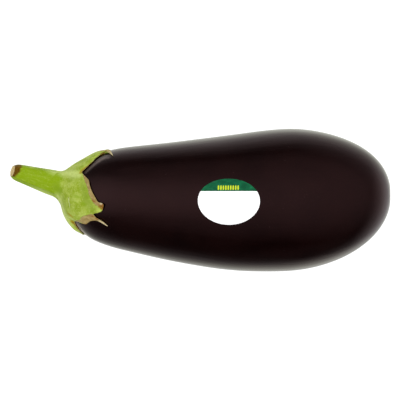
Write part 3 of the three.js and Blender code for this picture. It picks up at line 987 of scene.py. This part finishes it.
# The oval leans by a share of its width; its print bows by BAND_BOW times its length squared.
LABEL_LEAN = -0.035
BAND_BOW = 0.0015
LABEL_SPOKES = 128
LABEL_SMOOTH_ANGLE = math.radians(40)
LABEL_TOP = 0.13
LABEL_UNDER = -0.12
# Rings from the middle of the upper face to the middle of the lower one: share and height.
LABEL_ROWS = [(0.12, LABEL_TOP), (0.3, LABEL_TOP), (0.5, LABEL_TOP), (0.7, LABEL_TOP),
              (0.86, LABEL_TOP), (0.96, LABEL_TOP), (0.997, LABEL_TOP), (1.0, LABEL_TOP - 0.02),
              (1.0, LABEL_UNDER), (0.9, LABEL_UNDER), (0.5, LABEL_UNDER), (0.2, LABEL_UNDER)]

label_reach = reach_at(LABEL_X)
label_angle = 2 * np.pi * np.arange(LABEL_SPOKES) / LABEL_SPOKES


def label_row(share, height):
    """One ring of the label, laid on the skin."""
    length = share * LABEL_HALF_LENGTH * np.cos(label_angle)
    width = share * LABEL_HALF_WIDTH * np.sin(label_angle)
    along = length * math.cos(LABEL_TILT) + width * (LABEL_LEAN - math.sin(LABEL_TILT))
    across = length * math.sin(LABEL_TILT) + width * math.cos(LABEL_TILT)
    _, radius = outline_at(label_reach + along)
    turn = LABEL_TURN - np.degrees(across / radius)
    return with_dents(above_skin(label_reach + along, turn, height + np.zeros(LABEL_SPOKES)))


label = grow_rings("label", [label_row(share, height) for share, height in LABEL_ROWS],
                   label_row(0, LABEL_TOP)[0], label_row(0, LABEL_UNDER)[0])
reach, turn = reach_and_turn(vertex_places(label))
_, radius = outline_at(reach)
along, across = reach - label_reach, np.radians(LABEL_TURN - turn) * radius
print_along = along * math.cos(LABEL_TILT) + across * math.sin(LABEL_TILT)
print_up = across * math.cos(LABEL_TILT) - along * math.sin(LABEL_TILT) + BAND_BOW * print_along**2
paint(label, "print", np.stack([print_along, print_up, np.zeros(len(turn))], axis=-1))
complete(label, 0)
bpy.ops.object.shade_smooth_by_angle(angle=LABEL_SMOOTH_ANGLE)

# %% [markdown]
# ## Finishes from nodes
# Every finish is built from small nodes: noise for mottling, ramps for colours, and bumps for
# fine relief. They could be placed by hand in the node editor. A few short helpers place them in
# the tree that is open at the time, so that each finish below reads as a recipe.

# %% Start a finish
# The node tree that is open at the time. All helpers for nodes add to it.
recipe = {"tree": None}


def shade(red, green, blue):
    """A colour given as screen values from 0 to 255, as the shader wants it."""
    def linear(value):
        value = value / 255
        return value / 12.92 if value <= 0.04045 else ((value + 0.055) / 1.055) ** 2.4
    return (linear(red), linear(green), linear(blue), 1.0)


def new_finish(name):
    """A new material, opened as the recipe, and its main shader."""
    finish = bpy.data.materials.new(name)
    finish.use_nodes = True
    recipe["tree"] = finish.node_tree
    return finish, finish.node_tree.nodes["Principled BSDF"]


def dress(piece, finish):
    """Puts a finish on a piece."""
    piece.data.materials.append(finish)
    print(finish.name, "nodes:", len(finish.node_tree.nodes))


def feed(node, inputs):
    """Puts numbers, colours or other nodes' outputs into a node's inputs."""
    for key, value in inputs.items():
        if isinstance(value, bpy.types.NodeSocket):
            node.id_data.links.new(value, node.inputs[key])
        else:
            node.inputs[key].default_value = value


def add_node(kind, inputs=None, **settings):
    """A new node with its properties and its inputs set."""
    node = recipe["tree"].nodes.new(kind)
    for key, value in settings.items():
        setattr(node, key, value)
    feed(node, inputs or {})
    return node


print("screen white for the shader:", shade(255, 255, 255))

# %% [markdown]
# ## Steps of a recipe
# Each helper adds one step and returns its output, so steps can be nested like arithmetic. Sizes
# are in millimetres on the object. The numbers were tuned: noise takes its lumps per mm, its
# detail and its roughness; a band takes the two ends of its input and of its output.

# %% Steps of a recipe
def calculate(operation, *values):
    """One step of arithmetic."""
    node = add_node("ShaderNodeMath", dict(enumerate(values)), operation=operation)
    return node.outputs[0]


def times(first, second):
    """One number times another."""
    return calculate("MULTIPLY", first, second)


def plus(first, second):
    """One number plus another."""
    return calculate("ADD", first, second)


def axis_of(vector, axis):
    """One coordinate of a vector: X, Y or Z."""
    return add_node("ShaderNodeSeparateXYZ", {0: vector}).outputs[axis]


def stretch(vector, scale):
    """The same coordinates, scaled along each axis."""
    return add_node("ShaderNodeMapping", {"Vector": vector, "Scale": scale}).outputs[0]


def grainy(vector, scale, detail=2.0, roughness=0.5):
    """Soft noise from 0 to 1."""
    inputs = {"Vector": vector, "Scale": scale, "Detail": detail, "Roughness": roughness}
    return add_node("ShaderNodeTexNoise", inputs).outputs["Fac"]


def band(value, low, high, low_out=0.0, high_out=1.0):
    """Turns low..high into low_out..high_out, smoothly and with flat ends."""
    inputs = {"Value": value, "From Min": low, "From Max": high, "To Min": low_out,
              "To Max": high_out}
    return add_node("ShaderNodeMapRange", inputs, interpolation_type="SMOOTHSTEP").outputs[0]


def blend(share, first, second):
    """A mix of two colours. The inputs and the output for colours have these numbers."""
    inputs = {0: share, 6: first, 7: second}
    return add_node("ShaderNodeMix", inputs, data_type="RGBA").outputs[2]


def layered(colour, *layers):
    """A colour under layers; each is how much of it shows and its own colour."""
    for share, tint in layers:
        colour = blend(share, colour, tint)
    return colour


def painted(name, kind="Fac"):
    """A number that was stored on the mesh, or a vector if kind is Vector."""
    return add_node("ShaderNodeAttribute", attribute_name=name).outputs[kind]


def relief_of(*bumps):
    """Bumps on top of each other; each is its height from 0 to 1 and its depth in mm."""
    below = {}
    for height, depth in bumps:
        inputs = {"Strength": 1.0, "Distance": depth * MM, "Height": height, **below}
        below = {"Normal": add_node("ShaderNodeBump", inputs).outputs[0]}
    return below["Normal"]


def object_mm():
    """Coordinates on the object in mm."""
    node = add_node("ShaderNodeTexCoord")
    return stretch(node.outputs["Object"], (1 / MM, 1 / MM, 1 / MM))


steps = (calculate, times, plus, axis_of, stretch, grainy, band, blend, layered, painted,
         relief_of, object_mm)
print("steps:", [step.__name__ for step in steps])

# %% [markdown]
# ## Where the skin is paler or darker
# Skin that grew in the calyx's shade stays pale, so a pale strip shows where the cap has drawn
# back; it is also painted brighter, as a painted reflection. Elsewhere a thin painted shadow lies
# along the cap's edge. Both follow the rim, so they are worked out from each vertex's distance
# to it.

# %% Paint the skin
# A thin painted shadow lies by the calyx. Between the turns STRIP_FROM and STRIP_TO a pale strip
# lies there instead: skin that grew under the calyx, painted brighter as a painted reflection.
# Reaches are in mm from the rim.
SHADE_GAP_REACH, SHADE_GAP_STRENGTH = 1.1, 1.4
STRIP_REACH = 3.0
STRIP_FROM, STRIP_FULL, STRIP_LAST, STRIP_TO = 138, 164, 184, 214
# By the upper lobe a painted reflection continues the strip: how softly it ends in mm, and how
# much of it shows.
REFLECTION_SOFTNESS, REFLECTION_SHARE = 3.4, 0.46
# Only skin this near to the calyx's middle, in mm along the fruit, is measured against its rim.
NEAR_CALYX = 30

skin_places = vertex_places(skin)
near_rim = np.full(len(skin_places), np.inf)
close = np.abs(skin_places[:, 0] - rim_line[:, 0].mean()) < NEAR_CALYX
for rim_place in rim_line:
    near_rim[close] = np.minimum(near_rim[close],
                                 np.linalg.norm(skin_places[close] - rim_place, axis=1))
_, skin_turn = reach_and_turn(skin_places)
strip_side = soft_step((skin_turn - STRIP_FROM) / (STRIP_FULL - STRIP_FROM))
strip_side = strip_side * soft_step((STRIP_TO - skin_turn) / (STRIP_TO - STRIP_LAST))
# A painted shadow along the calyx's edge, left out where the pale strip lies.
gap_shade = soft_step(SHADE_GAP_STRENGTH * (1 - near_rim / SHADE_GAP_REACH))
paint(skin, "shade_by_calyx", gap_shade * (1 - strip_side))
# Pale skin that grew under the calyx, painted brighter as a painted reflection; by the upper lobe
# only a painted reflection.
near_strip = np.exp(-(near_rim / STRIP_REACH) ** 2) * strip_side
far_reflection = REFLECTION_SHARE * brush(skin_places, STROKES["lilac_and_reflection"], REFLECTION_SOFTNESS)
paint(skin, "lilac_and_reflection", np.maximum(near_strip, far_reflection))
print("skin near the calyx:", int(close.sum()), "of", len(skin_places), "vertices")

# %% [markdown]
# ## The skin's finish
# The skin is nearly black: a deep red-brown purple under a thin wax. Its colour shows only where
# light falls straight on it, and the rims mirror the bright table. The shader needs a very dark
# base, a warm tint on its straight-on reflection and a low, slightly uneven roughness. Faint
# lengthwise streaks, tiny pale pores, the paler strip by the calyx, painted brighter as a painted
# reflection, a painted shadow along the calyx's edge and a corky scar break it up.

# %% Skin finish
SKIN_DARK = (0.0022, 0.0004, 0.0004, 1.0)
SKIN_WARM = (0.0042, 0.001, 0.0009, 1.0)
SKIN_PORE = shade(74, 58, 58)
# Pale skin that grew under the calyx, brightened as a painted reflection.
SKIN_LILAC_AND_REFLECTION = shade(198, 180, 168)
# A painted shadow by the calyx's edge.
SKIN_SHADE_BY_CALYX = shade(6, 2, 2)
SKIN_MIRROR = (1.0, 0.53, 0.55, 1.0)
CORK = shade(150, 122, 84)
CORK_DARK = shade(84, 60, 38)
# The scar's edge wavers by noise, and its cork fades out between these distances in mm.
SCAR_WAVER = 2.2
SCAR_EDGE = (3.1, 3.7)

skin_finish, shader = new_finish("aubergine_skin")
spot = object_mm()
mottle = grainy(spot, 0.05, 4.0)
streak = grainy(stretch(spot, (0.03, 0.42, 0.42)), 1.0, 3.0)
pores = add_node("ShaderNodeTexVoronoi", {"Vector": spot, "Scale": 0.3})
pore = times(band(pores.outputs["Distance"], 0.04, 0.075, 1.0, 0.0),
             band(grainy(spot, 0.21), 0.5, 0.62))
# Pale skin by the calyx brightened as a painted reflection, and a painted reflection by the upper
# lobe.
lilac_and_reflection = times(painted("lilac_and_reflection"), band(grainy(spot, 0.7, 4.0, 0.6), 0.35, 0.65, 0.72, 1.0))
scar_middle = skin_point(OUTLINE_LENGTH, 0) - np.array([SCAR_DEPTH, 0, 0])
scar_apart = add_node("ShaderNodeVectorMath", {0: spot, 1: scar_middle}, operation="DISTANCE")
scar_noise = grainy(spot, 0.9, 4.0, 0.7)
scar_edge = plus(scar_apart.outputs["Value"], times(scar_noise, SCAR_WAVER))
scar = band(scar_edge, *SCAR_EDGE, 1.0, 0.0)
colour = layered(
    SKIN_DARK,
    (band(mottle, 0.35, 0.65), SKIN_WARM),
    (band(streak, 0.5, 0.75, 0.0, 0.35), SKIN_WARM),
    (times(pore, 0.3), SKIN_PORE),
    # The painted shadow by the calyx.
    (times(painted("shade_by_calyx"), 0.6), SKIN_SHADE_BY_CALYX),
    (lilac_and_reflection, SKIN_LILAC_AND_REFLECTION),
    (scar, blend(band(scar_noise, 0.35, 0.6), CORK_DARK, CORK)))
roughness = band(grainy(stretch(spot, (0.05, 0.2, 0.2)), 1.0, 4.0), 0.3, 0.7, 0.14, 0.2)
relief = relief_of((grainy(spot, 2.2, 3.0), 0.012), (streak, 0.05), (times(scar, scar_noise), 0.6))
feed(shader, {"Base Color": colour, "Roughness": plus(roughness, times(scar, 0.5)), "IOR": 1.47,
              "Specular Tint": SKIN_MIRROR, "Normal": relief})
dress(skin, skin_finish)

# %% [markdown]
# ## The green finish
# Stalk and calyx are one tissue, so they share one recipe, and no seam shows where they meet.
# The stalk is a saturated yellow-green with lengthwise streaks; the calyx is paler, softly
# mottled and slightly downy. Noise along the painted grain gives fibres that spread out with
# the lobes. The dry margins, the bark at the cut and the pale ribs come from painted strokes,
# and so do painted highlights along the stalk and broad painted light and painted shade.

# %% Green finish
GREEN_STALK = shade(124, 152, 0)
GREEN_DARK = shade(130, 151, 24)
GREEN_MAIN = shade(144, 163, 46)
GREEN_LIGHT = shade(168, 184, 84)
FIBRE_LIGHT = shade(176, 192, 84)
FIBRE_DEEP = shade(122, 150, 14)
FUZZ_LIGHT = shade(184, 198, 112)
FUZZ_DEEP = shade(122, 148, 22)
# Colours of the painted light and of the painted shade on the green pieces.
PAINTED_LIGHT_GREEN = shade(202, 216, 132)
PAINTED_SHADE_GREEN = shade(120, 142, 38)
DRY_TAN = shade(168, 147, 95)
DRY_PINK = shade(143, 121, 72)
DRY_BROWN = shade(128, 78, 12)
OCHRE = shade(150, 130, 0)
CREAM = shade(204, 188, 150)
BARK_DARK = shade(82, 52, 2)
BARK_MID = shade(112, 80, 12)
CUT_TAN = shade(212, 192, 142)
CUT_DEEP = shade(186, 156, 102)
GREEN_SHEEN = (0.9, 1.0, 0.5, 1.0)
# The stalk's green turns into the calyx's between these runs, in mm.
STALK_GREEN_ENDS = (1.0, 7.5)
# A stand-in for the way in from the rim, on a piece that has no rim.
NO_RIM = 9.0
# Paint, its colour, and how much of it shows. The two broad paints are painted light and
# painted shade, and the pale paint also holds painted highlights along the stalk.
PAINT_MIXES = [("painted_light", PAINTED_LIGHT_GREEN, 0.7), ("painted_shade", PAINTED_SHADE_GREEN, 0.8),
               ("pale_and_highlight", FIBRE_LIGHT, 0.75), ("deep", FIBRE_DEEP, 0.7), ("ochre", OCHRE, 1.0)]


def green_finish(name):
    """The living green with its dry parts, as a new material."""
    finish, shader = new_finish(name)
    spot = object_mm()
    grain = painted("grain", "Vector")
    run = axis_of(grain, "Z")
    mottle = grainy(spot, 0.2, 4.0, 0.55)
    fibre = grainy(stretch(grain, (0.8, 0.8, 0.09)), 1.0, 4.0, 0.6)
    fine = grainy(stretch(grain, (2.6, 2.6, 0.3)), 1.0, 3.0, 0.6)
    speck = grainy(spot, 1.6, 3.0, 0.6)
    fuzz = grainy(spot, 1.1, 4.0, 0.7)
    stalk_share = band(plus(run, times(mottle, 6.0)), *STALK_GREEN_ENDS, 1.0, 0.0)
    downy = times(band(fuzz, 0.5, 0.68, 0.0, 0.55), band(stalk_share, 0.0, 1.0, 1.0, 0.3))
    marks = [(times(painted(mark), band(fine, 0.2, 0.6, share * 0.55, share)), tint)
             for mark, tint, share in PAINT_MIXES]
    rim = painted("rim") if name == "calyx_green" else NO_RIM
    edge = band(plus(rim, times(speck, 1.1)), 0.55, 0.95, 0.85, 0.0)
    dry = band(plus(painted("dry"), times(speck, 0.7)), 0.7, 1.0)
    dry = calculate("MAXIMUM", dry, edge)
    paper = layered(DRY_PINK, (band(fine, 0.35, 0.65), DRY_TAN),
                    (times(painted("cream"), 0.9), CREAM))
    brown = times(painted("brown"), band(speck, 0.2, 0.6, 0.6, 1.0))
    bark, cut = painted("bark"), painted("cut")
    cut_tone = band(grainy(spot, 2.4, 4.0), 0.35, 0.65)
    colour = layered(
        GREEN_DARK,
        (band(mottle, 0.36, 0.64), GREEN_LIGHT),
        (band(speck, 0.3, 0.7, 0.0, 0.6), GREEN_MAIN),
        (times(stalk_share, 0.95), GREEN_STALK),
        (band(fibre, 0.56, 0.74, 0.0, 0.5), FIBRE_LIGHT),
        (band(fibre, 0.28, 0.44, 0.45, 0.0), FIBRE_DEEP),
        (band(fine, 0.55, 0.8, 0.0, 0.35), FIBRE_LIGHT),
        (downy, FUZZ_LIGHT),
        (band(fuzz, 0.34, 0.48, 0.4, 0.0), FUZZ_DEEP),
        *marks,
        (dry, paper),
        (brown, DRY_BROWN),
        (bark, blend(band(speck, 0.4, 0.62), BARK_DARK, BARK_MID)),
        (cut, blend(cut_tone, CUT_DEEP, CUT_TAN)))
    parched = calculate("MAXIMUM", dry, calculate("MAXIMUM", bark, cut))
    wrinkles = times(parched, grainy(spot, 1.5, 4.0, 0.65))
    relief = relief_of((fibre, 0.22), (fine, 0.08), (speck, 0.06), (wrinkles, 0.5))
    feed(shader, {"Base Color": colour, "Roughness": band(parched, 0.0, 1.0, 0.5, 0.82),
                  "Specular IOR Level": 0.1, "Sheen Weight": 0.3, "Sheen Roughness": 0.3,
                  "Sheen Tint": GREEN_SHEEN, "Normal": relief})
    return finish


dress(calyx, green_finish("calyx_green"))
dress(stalk, green_finish("stalk_green"))

# %% [markdown]
# ## The prickle's finish
# The prickle is straw: pale and matt, and darker at its foot, where it leaves the cap. One noise
# and one change of colour along it are all it needs at its size.

# %% Prickle finish
STRAW_DEEP = shade(176, 186, 112)
STRAW_PALE = shade(206, 210, 156)
STRAW_FOOT = shade(92, 84, 40)
# The foot's colour comes in between these places in mm along Y.
FOOT_EDGE = (0.7, 1.3)

straw_finish, shader = new_finish("prickle_straw")
spot = object_mm()
straw = layered(STRAW_DEEP, (band(grainy(spot, 1.1, 3.0), 0.35, 0.65), STRAW_PALE),
                (band(axis_of(spot, "Y"), *FOOT_EDGE), STRAW_FOOT))
feed(shader, {"Base Color": straw, "Roughness": 0.6,
              "Normal": relief_of((grainy(spot, 3.0, 3.0), 0.04))})
dress(prickle, straw_finish)

# %% [markdown]
# ## The label's finish
# The label is white coated paper with a plain green band along its upper end. The band holds
# only soft mottled greens and one row of small yellow seeds. They could be an image, but worked
# out from the label's own millimetre coordinates they stay crisp at any size.

# %% Label finish
# The band's lower edge, and its seeds' row, middle, pitch and half sizes, all in mm.
BAND_EDGE, EDGE_SOFTNESS = 5.7, 0.05
SEED_ROW = 7.6
SEED_MIDDLE = -0.45
SEED_PITCH = 1.34
SEED_COUNT = 9
SEED_HALF_WIDTH = 0.42
SEED_HALF_HEIGHT = 1.3
PAPER_WHITE = (0.96, 0.96, 0.96, 1.0)
BAND_GREEN = shade(4, 92, 56)
BAND_BRIGHT = shade(14, 112, 70)
BAND_DEEP = shade(0, 76, 46)
BAND_GREY = shade(58, 108, 90)
SEED_YELLOW = shade(192, 208, 36)

label_finish, shader = new_finish("label_paper")
print_mm = painted("print", "Vector")
along, up = axis_of(print_mm, "X"), axis_of(print_mm, "Y")
spot = object_mm()
tone = grainy(stretch(print_mm, (0.3, 0.42, 0.3)), 1.0, 3.0)
soft_stroke = grainy(stretch(print_mm, (0.22, 0.8, 0.3)), 1.3, 2.0)
grey_share = times(band(soft_stroke, 0.55, 0.72, 0.0, 0.55), band(along, -8.0, -4.0, 1.0, 0.0))
# Each seed is an oval, a little squared off at its ends, in its own cell of the row.
seeds_along = calculate("SUBTRACT", along, SEED_MIDDLE)
cell = calculate("DIVIDE", seeds_along, SEED_PITCH)
cell = calculate("SUBTRACT", cell, calculate("ROUND", cell))
across = calculate("DIVIDE", times(cell, SEED_PITCH), SEED_HALF_WIDTH)
tall = calculate("DIVIDE", calculate("SUBTRACT", up, SEED_ROW), SEED_HALF_HEIGHT)
oval = [calculate("POWER", calculate("ABSOLUTE", share), power)
        for share, power in ((across, 2.0), (tall, 4.0))]
in_row = calculate("LESS_THAN", calculate("ABSOLUTE", seeds_along), SEED_PITCH * SEED_COUNT / 2)
green = layered(BAND_DEEP, (band(tone, 0.35, 0.6), BAND_GREEN),
                (band(tone, 0.55, 0.72), BAND_BRIGHT), (grey_share, BAND_GREY),
                (times(band(plus(*oval), 0.8, 1.15, 1.0, 0.0), in_row), SEED_YELLOW))
in_band = band(up, BAND_EDGE - EDGE_SOFTNESS, BAND_EDGE + EDGE_SOFTNESS)
feed(shader, {"Base Color": blend(in_band, PAPER_WHITE, green), "Specular IOR Level": 0.2,
              "Roughness": band(grainy(spot, 0.8, 3.0), 0.3, 0.7, 0.36, 0.44),
              "Normal": relief_of((grainy(spot, 4.0, 2.0), 0.01))})
dress(label, label_finish)

# %% [markdown]
# ## Join the pieces to the frame
# Each new piece takes the place of a solid of the frame, which is hidden, and moves with its
# only body.

# %% Bind the pieces
BINDINGS = [(skin, "fruit", "fruit_skin"), (calyx, "calyx", "calyx_green"),
            (stalk, "stem", "stem_green"), (label, "sticker", "sticker_paper")]
for piece, node, slot_name in BINDINGS:
    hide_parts(node)
    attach(piece, "root")
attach(prickle, "root")

# %% [markdown]
# ## The studio
# The studio is plain: a pale table, soft light from overhead and nothing else. A table lit by
# lamps alone comes out grey beside a white one, so the camera sees it a little brighter than it
# lights the fruit. A few of its shadows stay, since the seen colour has a matt share.

# %% Table
# Size and drop in m. The camera sees TABLE_GLOW, and shadows on TABLE_LIT; all else sees plain
# TABLE_WHITE.
TABLE_SIZE = 8.0
TABLE_DROP = 0.0001
TABLE_WHITE = (0.85, 0.85, 0.85, 1.0)
TABLE_GLOW = 0.93
TABLE_LIT = (0.3, 0.3, 0.3, 1.0)

clear_selection()
bpy.ops.mesh.primitive_plane_add(size=TABLE_SIZE, location=(0, 0, -TABLE_DROP))
table = bpy.context.object
table.name = "table"
bpy.ops.object.transform_apply(location=True, rotation=True, scale=True)
table.visible_glossy = False
table_finish, shader = new_finish("pale_table")
feed(shader, {"Base Color": TABLE_WHITE, "Roughness": 0.9, "Specular IOR Level": 0.0})
glow = add_node("ShaderNodeEmission", {"Strength": TABLE_GLOW})
lit = add_node("ShaderNodeBsdfDiffuse", {"Color": TABLE_LIT})
seen = add_node("ShaderNodeAddShader", {0: glow.outputs[0], 1: lit.outputs[0]})
to_camera = add_node("ShaderNodeLightPath").outputs["Is Camera Ray"]
surface = add_node("ShaderNodeMixShader",
                   {0: to_camera, 1: shader.outputs[0], 2: seen.outputs[0]})
feed(recipe["tree"].nodes["Material Output"], {"Surface": surface.outputs[0]})
dress(table, table_finish)

# %% [markdown]
# ## What the skin mirrors
# Glossy skin shows its surroundings more than its own colour. They could be cards and lamps, but
# those mirror as hard shapes. Here the world holds a few soft glows, seen by mirrored rays only:
# bright ones from the table below, dimmer ones from cards above and beside the fruit. Each glow
# changes with the angle from its middle. The camera sees a plain pale sky instead, and all other
# rays an even fill.

# %% Glows and sky
OFF_TABLE = np.array([0.97, 1.05, 0.8])
OFF_CARDS = np.array([1.0, 1.0, 1.0])
# Each glow: the way to its middle, its tint, and its strength against the cosine of the angle
# from its middle.
GLOWS = [
    ((0.32, 0.25, -0.92), OFF_CARDS,
     [(-0.43, 0.0), (-0.14, 0.04), (0.14, 0.02), (0.43, 0.21), (0.71, 0.53), (1.0, 0.48)]),
    ((-0.3, 0.0, -0.95), OFF_TABLE, [(0.6, 0.0), (0.8, 0.2), (1.0, 0.3)]),
    ((0.33, 0.47, -0.82), OFF_TABLE, [(0.85, 0.0), (0.96, 0.26), (1.0, 0.34)]),
    ((0.16, -0.62, -0.77), OFF_TABLE, [(0.93, 0.0), (0.98, 0.21), (1.0, 0.28)]),
    ((-0.22, 0.88, -0.43), OFF_CARDS, [(0.955, 0.0), (0.985, 0.1), (1.0, 0.1)]),
    ((0.32, 0.14, 0.95), OFF_CARDS, [(-1.0, 0.0), (-0.71, 0.21), (-0.43, 0.01), (0.14, 0.0),
                                     (0.43, 0.13), (0.71, 0.28), (1.0, 0.42)]),
    ((-0.88, 0.09, 0.47), OFF_CARDS, [(-1.0, 0.5), (-0.71, 0.02), (0.14, 0.0), (0.43, 0.05),
                                      (0.71, 0.11), (1.0, 0.7)]),
]
SKY_FILL = (0.78, 0.78, 0.78, 1.0)
SKY_SEEN = (0.78, 0.79, 0.8, 1.0)
SKY_HORIZON = (1.0, 1.0, 1.0, 1.0)
# The sky turns white towards the horizon, below this height of the view's direction.
SKY_FADE = 0.02

world = bpy.data.worlds.new("studio_sky")
bpy.context.scene.world = world
world.use_nodes = True
world.node_tree.nodes.clear()
recipe["tree"] = world.node_tree
direction = add_node("ShaderNodeTexCoord").outputs["Generated"]
mirrored = (0.0, 0.0, 0.0)
for middle, tint, strengths in GLOWS:
    facing = add_node("ShaderNodeVectorMath", {0: direction, 1: unit(np.array(middle))},
                      operation="DOT_PRODUCT")
    place = calculate("MULTIPLY_ADD", facing.outputs["Value"], 0.5, 0.5)
    ramp = add_node("ShaderNodeValToRGB", {0: place})
    elements = ramp.color_ramp.elements
    while len(elements) < len(strengths):
        elements.new(1.0)
    # All places come first, since a moved element may change its number.
    for element, (cosine, _) in zip(elements, strengths):
        element.position = (cosine + 1) / 2
    for element, (_, strength) in zip(elements, strengths):
        element.color = (*(strength * tint), 1.0)
    mirrored = add_node("ShaderNodeVectorMath", {0: ramp.outputs["Color"], 1: mirrored},
                        operation="ADD").outputs["Vector"]
ray = add_node("ShaderNodeLightPath")
sky_share = band(axis_of(direction, "Z"), 0.0, SKY_FADE)
seen_sky = blend(sky_share, SKY_HORIZON, SKY_SEEN)
fill = blend(ray.outputs["Is Glossy Ray"], SKY_FILL, mirrored)
fill = blend(ray.outputs["Is Camera Ray"], fill, seen_sky)
background = add_node("ShaderNodeBackground", {"Color": fill})
add_node("ShaderNodeOutputWorld", {"Surface": background.outputs[0]})
print("glows:", len(GLOWS), "sky nodes:", len(recipe["tree"].nodes))

# %% [markdown]
# ## The overhead light
# One square lamp above lights all matt surfaces and casts the soft shadow. It is hidden from
# mirrored rays, as if it were crossed by a polariser, so no hard highlight sits on the fruit.

# %% Overhead light
# Place and size in m, power in W.
KEY_PLACE = Vector((0.0, 0.1, 1.4))
KEY_SIZE = 0.75
KEY_POWER = 11.0


def put_in_scene(data, place):
    """A new object at a place, for a light or a camera."""
    thing = bpy.data.objects.new(data.name, data)
    bpy.context.scene.collection.objects.link(thing)
    thing.location = place
    return thing


key_data = bpy.data.lights.new("overhead", "AREA")
key_data.shape = "SQUARE"
key_data.size = KEY_SIZE
key_data.energy = KEY_POWER
key = put_in_scene(key_data, KEY_PLACE)
key.rotation_euler = KEY_PLACE.to_track_quat("Z", "Y").to_euler()
key.visible_glossy = False
print("overhead light at", tuple(round(value, 2) for value in KEY_PLACE))

# %% [markdown]
# ## The camera
# The camera looks straight down from far off through a long lens, so that the form is hardly
# widened towards the lens. The plain view transform keeps whites white.

# %% Camera
# Lens and sensor in mm, height in m.
LENS = 410.0
SENSOR = 36.0
CAMERA_HEIGHT = 2.536

camera_data = bpy.data.cameras.new("camera")
camera_data.lens = LENS
camera_data.sensor_width = SENSOR
bpy.context.scene.camera = put_in_scene(camera_data, (0, 0, CAMERA_HEIGHT))
bpy.context.scene.view_settings.view_transform = "Standard"
print("camera height in m:", CAMERA_HEIGHT)
